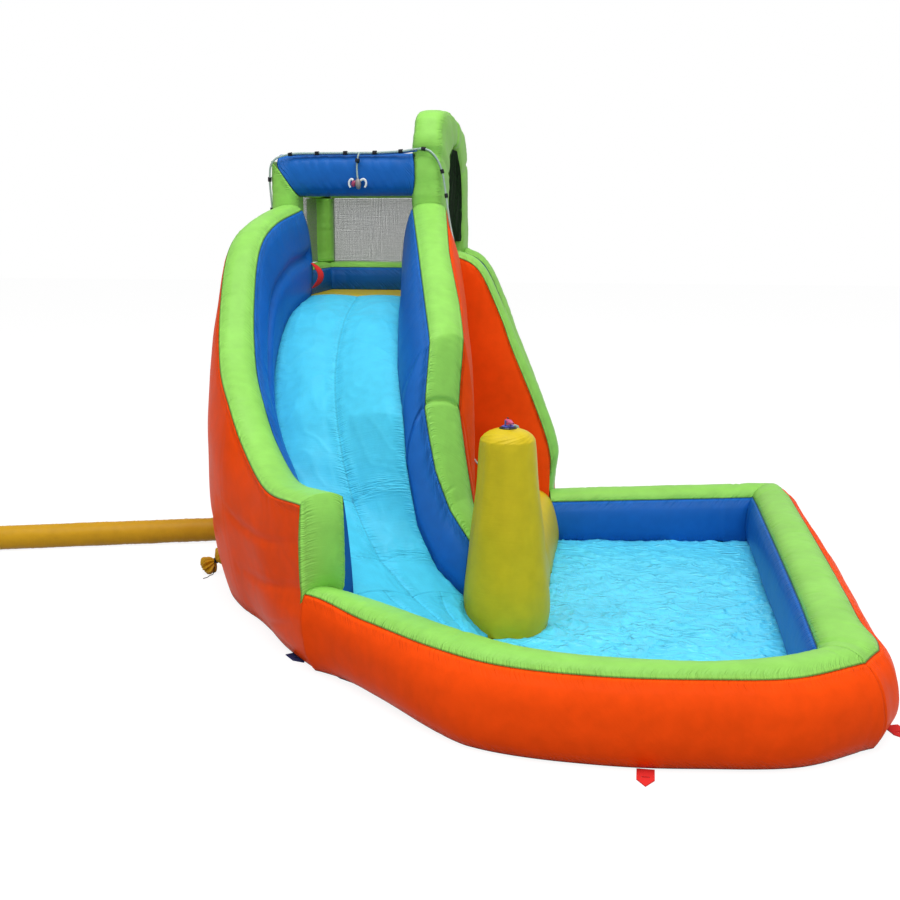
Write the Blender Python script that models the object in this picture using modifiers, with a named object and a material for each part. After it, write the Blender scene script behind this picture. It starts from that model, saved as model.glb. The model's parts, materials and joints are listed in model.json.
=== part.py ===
"""Inflatable water park: slide tower, climbing ramp, splash pool and water cannon.

Metres, +Z up, the viewer stands at -Y. The origin is on the ground, in the middle of the footprint.
Every chamber is built from its sewn fabric panels, as thin skins with air behind them.
"""

import math

import bmesh
import bpy
from mathutils import Matrix, Vector

NAME = "inflatable_water_park"

# Fabric, seams and the ground sheet
SKIN = 0.004
SEAM_GAP = 0.001
BED_GAP = 0.003
SWELL_POWER = 2.6
SHEET = 0.004
SEAT = 0.0003
BASE = SHEET + SEAT
FLATNESS = 0.000001

# Splash pool
POOL_SEAM_OUTER = 0.325
POOL_SEAM_INNER = 0.295
POOL_CROWN = 0.045
POOL_BULGE_OUTER = 0.065
POOL_BULGE_INNER = 0.035
POOL_TOE_OUTER = 0.06
POOL_TOE_INNER = 0.015
POOL_CORNER_FRONT = (2.255, -1.675, 2.10, -1.53)
POOL_CORNER_BACK = (2.28, 1.26, 2.10, 1.09)
POOL_FRONT_START = (-0.032, -1.398, 0.145, -1.19)
POOL_FRONT_KNOTS = [
    (0.26, -1.51, 0.39, -1.32),
    (0.61, -1.77, 0.75, -1.575),
    (0.91, -1.925, 1.01, -1.72),
    (1.28, -1.97, 1.31, -1.76),
    (1.64, -1.94, 1.61, -1.755),
    (1.98, -1.87, 1.91, -1.67),
]
POOL_RIGHT_KNOTS = [
    (2.315, -1.53, 2.11, -1.44),
    (2.32, -0.36, 2.11, -0.36),
    (2.31, 1.02, 2.105, 0.88),
]
POOL_BACK_KNOTS = [(2.10, 1.30, 2.02, 1.085)]
POOL_BACK_END = (0.935, 1.17, 0.96, 0.96)

# Where the outer walls' feet are tucked under: the place, how far inside the seam, and the reach
TUCK_PLACE = (-0.15, -1.10)
TUCK = 0.08
TUCK_REACH = 1.25

# Low yellow wall behind the cannon column
LOW_WALL_KNOTS = [
    (0.66, 0.95, 0.86, 0.95),
    (0.70, 0.30, 0.87, 0.30),
    (0.79, -0.28, 0.92, -0.34),
    (0.84, -0.50, 0.94, -0.56),
]
LOW_WALL_SEAM = 0.22
LOW_WALL_CROWN = 0.05
LOW_WALL_BULGE = 0.02
LOW_WALL_TOE = 0.06

# Tower
DECK = 1.48
TOWER_LEFT = -0.86
TOWER_RIGHT = 0.19
TOWER_FRONT = 0.97
TOWER_BACK = 2.07
PARAPET_SEAM = DECK + 0.15
PARAPET_SIDE = 0.17
PARAPET_BACK = 0.39
PARAPET_LEAN = 0.03
PARAPET_CROWN = 0.03
PARAPET_STEPS = 3
TOWER_BULGE = 0.05

# Slide walls: outer seam x, y, inner seam x, y, seam height, bed height at the foot, lean of the face
SLIDE_LEFT_KNOTS = [
    (-0.84, 0.965, -0.67, 0.965, 2.00, DECK, 0.04),
    (-0.86, 0.49, -0.69, 0.49, 1.91, 1.40, 0.08),
    (-0.855, 0.16, -0.68, 0.18, 1.77, 1.24, 0.09),
    (-0.81, -0.11, -0.64, -0.05, 1.48, 1.06, 0.09),
    (-0.72, -0.38, -0.56, -0.28, 1.21, 0.90, 0.09),
    (-0.59, -0.62, -0.45, -0.50, 1.05, 0.76, 0.09),
    (-0.46, -0.79, -0.33, -0.66, 0.87, 0.62, 0.08),
    (-0.25, -1.08, -0.12, -0.94, 0.75, 0.45, 0.06),
    (0.00, -1.36, 0.145, -1.19, 0.76, 0.30, 0.03),
]
SLIDE_RIGHT_KNOTS = [
    (0.215, 0.965, 0.01, 0.965, 2.01, DECK, 0.05),
    (0.316, 0.49, 0.144, 0.46, 1.765, 1.37, 0.10),
    (0.378, 0.29, 0.208, 0.225, 1.63, 1.275, 0.125),
    (0.44, 0.09, 0.272, -0.01, 1.50, 1.18, 0.15),
    (0.50, -0.16, 0.35, -0.31, 1.35, 0.98, 0.16),
    (0.49, -0.24, 0.345, -0.42, 1.03, 0.76, 0.12),
    (0.54, -0.30, 0.41, -0.49, 0.74, 0.48, 0.12),
    (0.58, -0.34, 0.49, -0.53, 0.55, 0.27, 0.10),
    (0.64, -0.46, 0.605, -0.585, 0.40, 0.14, 0.06),
]
SLIDE_CROWN = 0.03
SLIDE_TOE = 0.02
SLIDE_LEFT_BULGE = 0.075
SLIDE_RIGHT_BULGE = 0.07
SLIDE_FACE_BULGE = 0.035
SLIDE_STEPS = 2
END_PANEL_BULGE = 0.05

# Slide bed and runout
BED_CHANNEL_COUNT = 2
BED_CROWN = 0.03
BED_STEPS = 5
BED_HEM = 0.008
RUNOUT_CHANNEL_COUNT = 4
RUNOUT_CROWN = 0.018
RUNOUT_STEPS = 3
FLOOR_GAP = 0.004
RUNOUT_KNOTS = [(0.45, -1.275, 0.60, -0.78, 0.20, 0.10), (0.80, -1.53, 0.70, -0.88, 0.055, 0.03)]

# Climbing ramp: x, rail seam height, bed height
RAIL_KNOTS = [
    (0.196, 1.72, 1.48),
    (0.30, 1.715, 1.46),
    (0.417, 1.63, 1.36),
    (0.54, 1.37, 1.11),
    (0.614, 1.17, 0.92),
    (0.74, 0.85, 0.60),
    (0.823, 0.59, 0.34),
    (0.852, 0.37, 0.21),
    (0.885, 0.17, 0.09),
]
RAMP_TURN = 0.075
RAMP_TURN_START = 0.015
RAMP_FOOT = (0.93, 0.03)
RAIL_WIDTH = 0.18
RAIL_FRONT = 1.01
RAIL_BACK = 1.98
RAIL_BULGE = 0.035
RAIL_CROWN = 0.03
RAIL_LEAN = 0.03
RAMP_CROWN = 0.02
LOOP_COUNT = 4
LOOP_ROWS = (4, 15)
LOOP_BAND = 0.05
LOOP_RISE = 0.07
LOOP_THICK = 0.003
LOOP_SEAT = 0.0029

# Posts, beams and the entrance arch
POST = 0.17
POST_DEPTH = 0.20
BEAM_BOTTOM = 2.08
BEAM_TOP = 2.33
BACK_POST_FRONT = 1.70
ARCH_CENTRE = 0.09
ARCH_HALF = 0.10
ARCH_LEG_BOTTOM = DECK + SEAT
ARCH_BACK_BOTTOM = PARAPET_SEAM + PARAPET_CROWN + 2 * SEAT
# outer y, z and inner y, z round the arch
ARCH_KNOTS = [
    (0.97, 2.10, 1.30, 2.06),
    (1.01, 2.46, 1.35, 2.26),
    (1.16, 2.58, 1.43, 2.35),
    (1.53, 2.585, 1.54, 2.38),
    (1.88, 2.51, 1.66, 2.34),
    (2.05, 2.32, 1.76, 2.20),
    (2.08, 2.05, 1.79, 2.00),
]

# Nets
NET_BAR = 0.012
NET_SHEET = 0.003
BACK_NET_GAPS = (10, 6)
LEFT_NET_GAPS = (6, 6)
FLAP_X = 0.1747
FLAP_TOP = 2.371
FLAP_GATHER = 0.1
# z, front y and back y down the flap
FLAP_OUTLINE = [
    (FLAP_TOP, 1.45, 1.62),
    (2.32, 1.37, 1.70),
    (2.22, 1.315, 1.77),
    (2.05, 1.285, 1.795),
    (1.92, 1.28, 1.80),
    (1.80, 1.28, 1.80),
]
FLAP_FOLD_COUNT = 4
FLAP_FOLD_DEPTH = 0.012

# Cannon column and cannon
COLUMN_X = 0.785
COLUMN_Y = -0.63
COLUMN_FOOT_RADIUS = 0.185
COLUMN_RADIUS = 0.20
COLUMN_TOP_RADIUS = 0.135
COLUMN_HEIGHT = 0.982
CANNON_YAW = math.radians(-62)
CANNON_PAD_RADIUS = 0.042
CANNON_PAD = 0.008
CANNON_RING_RADIUS = 0.030
CANNON_RING = 0.005
CANNON_PIVOT = 0.024
CANNON_BARREL_RADIUS = 0.011
CANNON_BARREL = 0.085
CANNON_BARREL_BEHIND = 0.25
CANNON_BORE = 0.003
TRIGGER = (0.016, 0.006, 0.004)
TRIGGER_TILT = math.radians(12)
TRIGGER_GAP = 0.0006
CHEEK = (0.012, 0.004, 0.028)
CHEEK_OUT = 0.0136

# Sprinkler hose
HOSE_RADIUS = 0.006
STRAP_RADIUS = 0.0126
STRAP_LENGTH = 0.02
STRAP_PLAY = 0.003
STRAP_SEAT = 0.0102
NOZZLE_KNOT = 9.5
NUT_RADIUS = 0.0155
NUT_LENGTH = 0.03
NUT_GRIP = 0.012
NUT_PLAY = 0.0006

HOSE_ROUTE = [
    (-0.945, 1.32, 1.16),
    (-0.945, 1.30, 1.40),
    (-0.925, 1.20, 1.62),
    (-0.888, 1.06, 1.80),
    (-0.876, 1.02, 2.00),
    (-0.876, 0.99, 2.18),
    (-0.842, 0.958, 2.285),
    (-0.74, 0.978, 2.327),
    (-0.575, 0.9887, 2.3322),
    (-0.40, 0.9887, 2.3322),
    (-0.22, 0.9887, 2.3322),
    (-0.06, 0.980, 2.338),
    (0.08, 0.968, 2.350),
    (0.148, 0.962, 2.310),
    (0.190, 0.972, 2.22),
    (0.212, 0.985, 2.08),
    (0.248, 0.955, 1.93),
    (0.305, 0.88, 1.72),
    (0.33, 0.87, 1.40),
    (0.335, 0.865, 0.95),
    (0.36, 0.84, 0.62),
    (0.52, 0.75, 0.42),
    (0.70, 0.62, 0.312),
    (0.76, 0.45, 0.285),
    (0.79, 0.10, 0.285),
    (0.84, -0.24, 0.286),
    (0.852, -0.385, 0.31),
    (0.838, -0.437, 0.40),
    (0.833, -0.457, 0.53),
    (0.827, -0.477, 0.74),
    (0.823, -0.490, 0.90),
    (0.819, -0.504, 0.962),
    (0.809, -0.543, 0.980),
    (0.7968, -0.5868, 0.9905),
]
STRAP_KNOTS = (7, 14)

# Inflation duct and deflation sleeve
DUCT_RADIUS = 0.072
DUCT_START = (-0.9053, 0.7014)
DUCT_END = (-2.44, 0.19)
DUCT_FLAT = 0.981
# share of the length, share of the full radius
DUCT_GIRTHS = [(0.0, 0.88), (0.08, 1.0), (0.5, 1.0), (0.96, 1.0), (1.0, 0.96)]
SLEEVE_X = -0.8737
SLEEVE_Y = -0.02
SLEEVE_Z = 0.105
SLEEVE_DROOP = math.radians(112)
SLEEVE_TURN = math.radians(12)
# radius and distance from the wall, from the ruffled end back
SLEEVE_PROFILE = [
    (0, 0.132),
    (0.026, 0.130),
    (0.036, 0.110),
    (0.026, 0.085),
    (0.012, 0.062),
    (0.015, 0.048),
    (0.034, 0.018),
    (0.032, 0),
    (0, 0),
]

# Grab handle: how far the slide wall's face swells beyond its seam where the webbing is sewn on
HANDLE_FACE = 0.0579
HANDLE_ABOVE_DECK = 0.05
HANDLE_HEIGHT = 0.15
HANDLE_BOW = 0.055
HANDLE_FRONT = 0.045
HANDLE_WIDTH = 0.032
HANDLE_THICK = 0.003
HANDLE_STEPS = 8

# Anchor tabs
TAB_WIDTH = 0.065
TAB_LENGTH = 0.13
TAB_SLOT = (0.03, 0.008)

# Colours, sRGB
GREEN = "#9BE05F"
ORANGE = "#EB5222"
BLUE = "#1E5FB4"
AQUA = "#4FCBEA"
YELLOW = "#D9C43C"
NAVY = "#1B2F66"
RED = "#D8231C"
BLACK = "#15161A"
GREY = "#8E9196"
CLEAR = "#BFD2C4"
PURPLE = "#4A4FA8"
PINK = "#D85A8C"

# Each tab's foot x, y, heading in degrees and colour
TAB_PLACES = {
    "left_anchor_tab": (-0.1358, -1.141, 311.0, NAVY),
    "front_anchor_tab": (1.459, -2.0245, 270.0, RED),
    "right_anchor_tab": (2.402, -1.49, 290.0, RED),
}


def linear(hex_colour):
    """The linear RGBA of an sRGB hex colour."""
    channels = [int(hex_colour[i : i + 2], 16) / 255 for i in (1, 3, 5)]
    return [c / 12.92 if c <= 0.04045 else ((c + 0.055) / 1.055) ** 2.4 for c in channels] + [1.0]


def material(name, colour, roughness, metallic=0.0):
    made = bpy.data.materials.new(name)
    made.use_nodes = True
    shader = made.node_tree.nodes["Principled BSDF"]
    shader.inputs["Base Color"].default_value = linear(colour)
    shader.inputs["Roughness"].default_value = roughness
    shader.inputs["Metallic"].default_value = metallic
    return made


def fabric(node, colour):
    """Coated fabric of one colour, one material to a panel."""
    return material(node + "_fabric", colour, 0.45)


# Points and curves


def spline_value(before, start, end, after, t):
    """A Catmull-Rom curve's value at the share t of the span from start to end."""
    slope = (end - before) * t
    square = (2 * before - 5 * start + 4 * end - after) * t**2
    cube = (3 * (start - end) + after - before) * t**3
    return 0.5 * (2 * start + slope + square + cube)


def smooth(knots, steps):
    """Tuples on a smooth curve through the knots, with so many steps in each span."""
    first = [2 * a - b for a, b in zip(knots[0], knots[1])]
    last = [2 * a - b for a, b in zip(knots[-1], knots[-2])]
    run = [first, *knots, last]
    out = []
    for i in range(len(knots) - 1):
        a, b, c, d = run[i : i + 4]
        for s in range(steps):
            t = s / steps
            out.append(tuple(spline_value(*values, t) for values in zip(a, b, c, d)))
    out.append(tuple(knots[-1]))
    return out


def swell(share):
    """How far a panel under pressure bows out at a share of its width: 0 at its seams, 1 in the middle."""
    return 1 - abs(2 * share - 1) ** SWELL_POWER


def bowed(start, end, bulge, steps):
    """2D points from start to end that bow to the left of the way by the bulge; the end is left out."""
    dx, dy = end[0] - start[0], end[1] - start[1]
    length = math.hypot(dx, dy)
    points = []
    for i in range(steps):
        t = i / steps
        rise = bulge * swell(t)
        points.append((start[0] + dx * t - dy / length * rise, start[1] + dy * t + dx / length * rise))
    return points


def inset(points, depth):
    """The open 2D line moved to its right by the depth, with its ends kept at their height."""
    moved = []
    for i, (x, y) in enumerate(points):
        normals = []
        for a, b in ((i - 1, i), (i, i + 1)):
            if a >= 0 and b < len(points):
                dx, dy = points[b][0] - points[a][0], points[b][1] - points[a][1]
                length = math.hypot(dx, dy)
                normals.append((dy / length, -dx / length))
        nx = sum(n[0] for n in normals)
        ny = sum(n[1] for n in normals)
        size = math.hypot(nx, ny)
        nx, ny = nx / size, ny / size
        if len(normals) == 1:
            moved.append((x + depth / nx, y))
        else:
            reach = depth / (nx * normals[0][0] + ny * normals[0][1])
            moved.append((x + nx * reach, y + ny * reach))
    return moved


def shifted(points, towards, distance):
    """The first point's step towards the second, applied as an offset."""
    dx, dy = towards[0] - points[0], towards[1] - points[1]
    length = math.hypot(dx, dy)
    return dx / length * distance, dy / length * distance


# Mesh makers


def add_object(name, points, faces, surface):
    mesh = bpy.data.meshes.new(name)
    mesh.from_pydata([tuple(p) for p in points], [], faces)
    mesh.materials.append(surface)
    shell = bmesh.new()
    shell.from_mesh(mesh)
    bmesh.ops.recalc_face_normals(shell, faces=shell.faces)
    shell.to_mesh(mesh)
    shell.free()
    mesh.shade_smooth()
    made = bpy.data.objects.new(name, mesh)
    bpy.data.collections[NAME].objects.link(made)
    return made


def rings_to_solid(name, rings, surface, caps=True):
    """A closed solid through rings of equal length; with caps off, the last ring joins the first."""
    count = len(rings[0])
    points = [p for ring in rings for p in ring]
    spans = len(rings) if not caps else len(rings) - 1
    faces = []
    for s in range(spans):
        a, b = s * count, (s + 1) % len(rings) * count
        for i in range(count):
            j = (i + 1) % count
            faces.append((a + i, a + j, b + j, b + i))
    if caps:
        faces += strip_caps(count, 0) + strip_caps(count, (len(rings) - 1) * count)
    return add_object(name, points, [half for face in faces for half in halves(face, points)], surface)


def halves(face, points):
    """A warped four-sided face as two triangles, split along its shorter diagonal.

    Both sides of a thin skin are split the same way, so they can't pass through each other.
    """
    a, b, c, d = (Vector(points[i]) for i in face)
    normal = (b - a).cross(c - a)
    if abs(normal.normalized().dot(d - a)) < FLATNESS:
        return [face]
    excess = (c - a).length - (d - b).length
    if abs(excess) < FLATNESS:
        excess = sum(a + c) - sum(b + d)
    i, j, k, m = face
    if excess < 0:
        return [(i, j, k), (i, k, m)]
    return [(i, j, m), (j, k, m)]


def strip_caps(count, start):
    """Quads across a thin ring whose first half runs back as its second half."""
    last = start + count - 1
    return [(start + i, start + i + 1, last - i - 1, last - i) for i in range(count // 2 - 1)]


def sheet_between(name, upper, lower, surface):
    """A thin closed body between two grids of points, given as rows."""
    return rings_to_solid(name, [list(u) + list(reversed(w)) for u, w in zip(upper, lower)], surface)


def pipe(name, outer_rings, inner_rings, surface):
    """A tube wall with open ends: rings of the outside, then of the inside on the way back."""
    return rings_to_solid(name, list(outer_rings) + list(reversed(inner_rings)), surface, caps=False)


def cut(obj, cutter):
    """Takes the cutter away from the object."""
    step = obj.modifiers.new("cut_" + cutter.name, "BOOLEAN")
    step.operation = "DIFFERENCE"
    step.solver = "EXACT"
    step.object = cutter


def as_cutter(obj):
    """Moves the object to the cutters' collection."""
    bpy.data.collections[NAME].objects.unlink(obj)
    bpy.data.collections["cutters"].objects.link(obj)
    obj.hide_render = True
    obj.display_type = "WIRE"
    return obj


# Inflated walls


def wall_station(outer, inner, marks, bulges, steps):
    """One cross-section of a wall: outer and inset points in space, and where its seams are."""
    ox, oy = outer
    ax, ay = inner[0] - ox, inner[1] - oy
    width = math.hypot(ax, ay)
    ax, ay = ax / width, ay / width
    line, seams = [], [0]
    for start, end, bulge, count in zip(marks, marks[1:], bulges, steps):
        line += bowed(start, end, bulge, count)
        seams.append(len(line))
    line.append(marks[-1])
    inside = inset(line, SKIN)
    trimmed = []
    for a, b in zip(seams, seams[1:]):
        start = shifted(line[a], line[a + 1], SEAM_GAP / 2)
        end = shifted(line[b], line[b - 1], SEAM_GAP / 2)
        panel = []
        for row in (line, inside):
            points = [list(p) for p in row[a : b + 1]]
            points[0] = [points[0][0] + start[0], points[0][1] + start[1]]
            points[-1] = [points[-1][0] + end[0], points[-1][1] + end[1]]
            panel.append([Vector((ox + ax * w, oy + ay * w, z)) for w, z in points])
        trimmed.append(panel)
    return trimmed


def slide_seat(rows, gap):
    """Moves the end sections off the seam planes by half a gap."""
    for end, nearer in ((0, 1), (-1, -2)):
        centre = sum(rows[end][0], Vector()) / len(rows[end][0])
        beyond = sum(rows[nearer][0], Vector()) / len(rows[nearer][0])
        way = (beyond - centre) * Vector((1, 1, 0))
        step = way.normalized() * gap / 2
        rows[end] = [[p + step for p in side] for side in rows[end]]
    return rows


def wall(names, stations, marks_of, bulges, steps, colours, gap=SEAM_GAP):
    """The sewn panels of one wall; stations hold outer x, y, inner x, y and what marks_of reads."""
    sections = []
    for station in stations:
        width = math.dist(station[:2], station[2:4])
        sections.append(wall_station(station[:2], station[2:4], marks_of(width, station), bulges, steps))
    for k, (name, colour) in enumerate(zip(names, colours)):
        rows = slide_seat([section[k] for section in sections], gap)
        sheet_between(name, [r[0] for r in rows], [r[1] for r in rows], fabric(name, colour))
    return sections


def foot_points(stations, out):
    """Plan points of the walls' feet on their outer side."""
    points = []
    for station in stations:
        ox, oy, ix, iy = station[:4]
        reach = toe(station, out) / math.dist((ox, oy), (ix, iy))
        points.append((ox + (ox - ix) * reach, oy + (oy - iy) * reach))
    return points


def toe(station, out):
    """How far a wall's foot lies beyond its outer seam: so much, or less where it is tucked under."""
    tucked = min(max(TUCK_REACH - math.dist(station[:2], TUCK_PLACE), 0.0), 1.0)
    return out - (out + TUCK) * tucked


def pool_marks(width, station):
    return [
        (-toe(station, POOL_TOE_OUTER), BASE),
        (0.0, POOL_SEAM_OUTER),
        (width, POOL_SEAM_INNER),
        (width + POOL_TOE_INNER, BASE),
    ]


def slide_marks(width, station):
    crest, foot, lean = station[4:7]
    return [(-toe(station, SLIDE_TOE), BASE), (0.0, crest), (width, crest), (width + lean, foot + BED_GAP)]


def parapet_marks(width, _station):
    return [
        (-SLIDE_TOE, BASE),
        (0.0, PARAPET_SEAM),
        (width, PARAPET_SEAM),
        (width + PARAPET_LEAN, DECK + SEAT),
    ]


def rail_marks(width, station):
    crest, foot = station[4:6]
    return [(-SLIDE_TOE, BASE), (0.0, crest), (width, crest), (width + RAIL_LEAN, foot + BED_GAP)]


def low_wall_marks(width):
    return [
        (-LOW_WALL_TOE, BASE),
        (0.0, LOW_WALL_SEAM),
        (width, LOW_WALL_SEAM),
        (width + LOW_WALL_TOE, BASE),
    ]


def pool_stations():
    front = smooth([POOL_FRONT_START, *POOL_FRONT_KNOTS, POOL_CORNER_FRONT], 2)
    right = [POOL_CORNER_FRONT, *smooth(POOL_RIGHT_KNOTS, 2), POOL_CORNER_BACK]
    back = [POOL_CORNER_BACK, *smooth([*POOL_BACK_KNOTS, POOL_BACK_END], 2)]
    return {"front": front, "right": right, "back": back}


def pool_walls(stations):
    bulges = (POOL_BULGE_OUTER, POOL_CROWN, POOL_BULGE_INNER)
    for side, line in stations.items():
        names = [f"pool_{side}_{part}" for part in ("outer", "top", "inner")]
        wall(names, line, pool_marks, bulges, (5, 4, 3), (ORANGE, GREEN, BLUE))


def low_wall(clearance):
    """The yellow wall that closes the pool between the ramp and the column."""
    bulges = (LOW_WALL_BULGE, LOW_WALL_CROWN, LOW_WALL_BULGE)
    profile = []
    for station in smooth(LOW_WALL_KNOTS, 2):
        marks = low_wall_marks(math.dist(station[:2], station[2:4]))
        profile.append(wall_station(station[:2], station[2:4], marks, bulges, (3, 4, 3)))
    upper = [[p for panel in section for p in panel[0]] for section in profile]
    lower = [[p for panel in section for p in panel[1]] for section in profile]
    cut(sheet_between("pool_left_wall", upper, lower, fabric("pool_left_wall", YELLOW)), clearance)


def slide_stations():
    return smooth(SLIDE_LEFT_KNOTS, SLIDE_STEPS), smooth(SLIDE_RIGHT_KNOTS, SLIDE_STEPS)


def slide_walls(left, right, clearance):
    bulges = (SLIDE_LEFT_BULGE, SLIDE_CROWN, SLIDE_FACE_BULGE)
    names = ["slide_left_outer", "slide_left_top", "slide_left_inner"]
    wall(names, left, slide_marks, bulges, (5, 4, 3), (ORANGE, GREEN, BLUE))
    bulges = (SLIDE_RIGHT_BULGE, SLIDE_CROWN, SLIDE_FACE_BULGE)
    names = ["slide_right_outer", "slide_right_top", "slide_right_inner"]
    wall(names, right, slide_marks, bulges, (5, 4, 3), (ORANGE, GREEN, BLUE))
    for name in names:
        cut(bpy.data.objects[name], clearance)


def slide_end_panel(last, ahead):
    """The green face that closes the low end of the left wall, above the pool wall."""
    way = Vector((ahead[0] - last[0], ahead[1] - last[1], 0)).normalized()
    outer, inner = Vector((*last[:2], 0)), Vector((*last[2:4], 0))
    across, width = (inner - outer).normalized(), (inner - outer).length
    crest, foot, lean = last[4:7]
    rows = []
    for v in range(7):
        rise = v / 6
        row = []
        for u in range(7):
            share = u / 6
            arch = swell(share)
            low = POOL_SEAM_OUTER + (POOL_SEAM_INNER - POOL_SEAM_OUTER) * share + POOL_CROWN * arch + 0.006
            high = crest + SLIDE_CROWN * arch - 0.001
            z = low + (high - low) * rise
            done = (z - BASE) / (crest - BASE)
            start = -SLIDE_LEFT_BULGE * swell(done) + SEAM_GAP
            down = (crest - z) / (crest - foot)
            end = width + lean * down + SLIDE_FACE_BULGE * swell(down) - SEAM_GAP
            out = END_PANEL_BULGE * swell(share) * swell(rise)
            level = Vector((0, 0, z))
            row.append(outer + across * (start + (end - start) * share) + way * (out + SKIN) + level)
        rows.append(row)
    behind = [[p - way * SKIN for p in row] for row in rows]
    sheet_between("slide_left_end", rows, behind, fabric("slide_left_end", GREEN))


def bed_edge(station, beyond):
    """A point at the foot of a slide wall's inner face, moved towards the wall by so much."""
    ox, oy, ix, iy, _, foot, lean = station
    width = math.dist((ox, oy), (ix, iy))
    reach = (width + lean - beyond) / width
    return Vector((ox + (ix - ox) * reach, oy + (iy - oy) * reach, foot))


def channelled(left, right, channels, crown, steps, hem):
    """A row of points from left to right, crowned in each channel, with flat hems at both ends."""
    way = (right - left).normalized()
    inner_left, inner_right = left + way * hem, right - way * hem
    row = [left]
    for i in range(channels * steps + 1):
        t = i / (channels * steps)
        rise = crown * abs(math.sin(math.pi * channels * t)) ** 0.7
        row.append(inner_left.lerp(inner_right, t) + Vector((0, 0, rise)))
    row.append(right)
    return row


def slide_bed(left, right, clearance):
    """The bed between the feet of the two slide walls."""
    rows = []
    for a, b in zip(left, right):
        edges = bed_edge(a, SKIN), bed_edge(b, SKIN)
        rows.append(channelled(*edges, BED_CHANNEL_COUNT, BED_CROWN, BED_STEPS, BED_HEM))
    rows[-1] = [p + (q - p).normalized() * SEAM_GAP for p, q in zip(rows[-1], rows[-2])]
    below = [[p - Vector((0, 0, SKIN)) for p in row] for row in rows]
    cut(sheet_between("slide_bed", rows, below, fabric("slide_bed", AQUA)), clearance)
    return rows


def slide_runout(left, right, clearance):
    """The fan of channels that turns the rider into the pool."""
    a, b = bed_edge(left, SKIN), bed_edge(right, SKIN)
    knots = [(a.x, a.y, b.x, b.y, a.z, b.z), *RUNOUT_KNOTS]
    rows = []
    for lx, ly, rx, ry, lz, rz in smooth(knots, 3):
        edges = Vector((lx, ly, lz)), Vector((rx, ry, rz))
        rows.append(channelled(*edges, RUNOUT_CHANNEL_COUNT, RUNOUT_CROWN, RUNOUT_STEPS, SKIN))
    below = [[p - Vector((0, 0, SKIN)) for p in row] for row in rows]
    cut(sheet_between("slide_runout", rows, below, fabric("slide_runout", AQUA)), clearance)


def slide_webs(rows):
    """The inner web that holds the long seam of the bed down."""
    middle = len(rows[0]) // 2
    line = [row[middle] for row in rows[1:-1]]
    left, right = [], []
    for i, point in enumerate(line):
        way = (line[min(i + 1, len(line) - 1)] - line[max(i - 1, 0)]) * Vector((1, 1, 0))
        side = way.normalized().cross(Vector((0, 0, 1))) * SKIN / 2
        top = point.z - SKIN - SEAT - 0.002
        left.append([Vector((point.x, point.y, z)) + side for z in (BASE, top)])
        right.append([Vector((point.x, point.y, z)) - side for z in (BASE, top)])
    sheet_between("slide_web", left, right, fabric("slide_web", BLUE))


# Tower


def parapet_stations():
    left = (TOWER_LEFT, TOWER_LEFT + PARAPET_SIDE)
    back = (TOWER_BACK, TOWER_BACK - PARAPET_BACK)
    start = TOWER_FRONT + 0.008
    corners = [
        (left[0], start, left[1], start),
        (left[0], back[0], left[1], back[1]),
        (TOWER_RIGHT, back[0], TOWER_RIGHT, back[1]),
    ]
    line = []
    for a, b in zip(corners, corners[1:]):
        for i in range(PARAPET_STEPS):
            line.append(tuple(p + (q - p) * i / PARAPET_STEPS for p, q in zip(a, b)))
    return [*line, corners[-1]]


def parapet(stations):
    """The tower's skin, with the low wall round the left and back of the deck."""
    bulges = (TOWER_BULGE, PARAPET_CROWN, 0.01)
    names = ["tower_outer", "parapet_top", "parapet_inner"]
    wall(names, stations, parapet_marks, bulges, (5, 4, 3), (ORANGE, GREEN, BLUE))


def box(name, low, high, surface):
    bpy.ops.mesh.primitive_cube_add(size=1)
    made = bpy.context.object
    made.name = made.data.name = name
    size = [b - a for a, b in zip(low, high)]
    made.location = [(a + b) / 2 for a, b in zip(low, high)]
    made.data.transform(Matrix.Diagonal((*size, 1)))
    made.data.materials.append(surface)
    return placed(made)


def placed(obj):
    """Moves an object that an operator made to the part's collection."""
    for home in list(obj.users_collection):
        home.objects.unlink(obj)
    bpy.data.collections[NAME].objects.link(obj)
    return obj


def tower_panels():
    """The web under the deck's front edge, the skin behind the ramp and the deck."""
    web_back = TOWER_FRONT + SKIN
    under_deck = DECK - SKIN - SEAT
    box(
        "tower_web",
        (TOWER_LEFT + 0.01, TOWER_FRONT, BASE),
        (TOWER_RIGHT - SEAM_GAP, web_back, under_deck),
        fabric("tower_web", BLUE),
    )
    box(
        "tower_right_side",
        (TOWER_RIGHT - SKIN, web_back + SEAT, BASE),
        (TOWER_RIGHT, TOWER_BACK - PARAPET_BACK - 0.04, under_deck),
        fabric("tower_right_side", ORANGE),
    )
    inner_left = TOWER_LEFT + PARAPET_SIDE + PARAPET_LEAN - SKIN
    inner_back = TOWER_BACK - PARAPET_BACK - PARAPET_LEAN + SKIN
    box(
        "platform_deck",
        (inner_left, TOWER_FRONT, DECK - SKIN),
        (TOWER_RIGHT, inner_back, DECK),
        fabric("platform_deck", YELLOW),
    )


def rounded(half_a, half_b, count=16, power=0.5):
    """A rounded rectangle as 2D points: a superellipse with flats at its four sides."""
    widest = math.cos(math.pi / count)
    points = []
    for i in range(count):
        turn = 2 * math.pi * (i + 0.5) / count
        c, s = math.cos(turn) / widest, math.sin(turn) / widest
        a = math.copysign(abs(c) ** power, c) * half_a
        b = math.copysign(abs(s) ** power, s) * half_b
        points.append((a, b))
    return points


def tube_skin(name, half_a, half_b, place, shares, colour):
    """A tube wall; place() puts a point of its section in space, at a share of its length."""
    rings = []
    for grow in (0.0, SKIN):
        section = rounded(half_a - grow, half_b - grow)
        rings.append([[place(a, b, t) for a, b in section] for t in shares])
    return pipe(name, rings[0], rings[1], fabric(name, colour))


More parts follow.
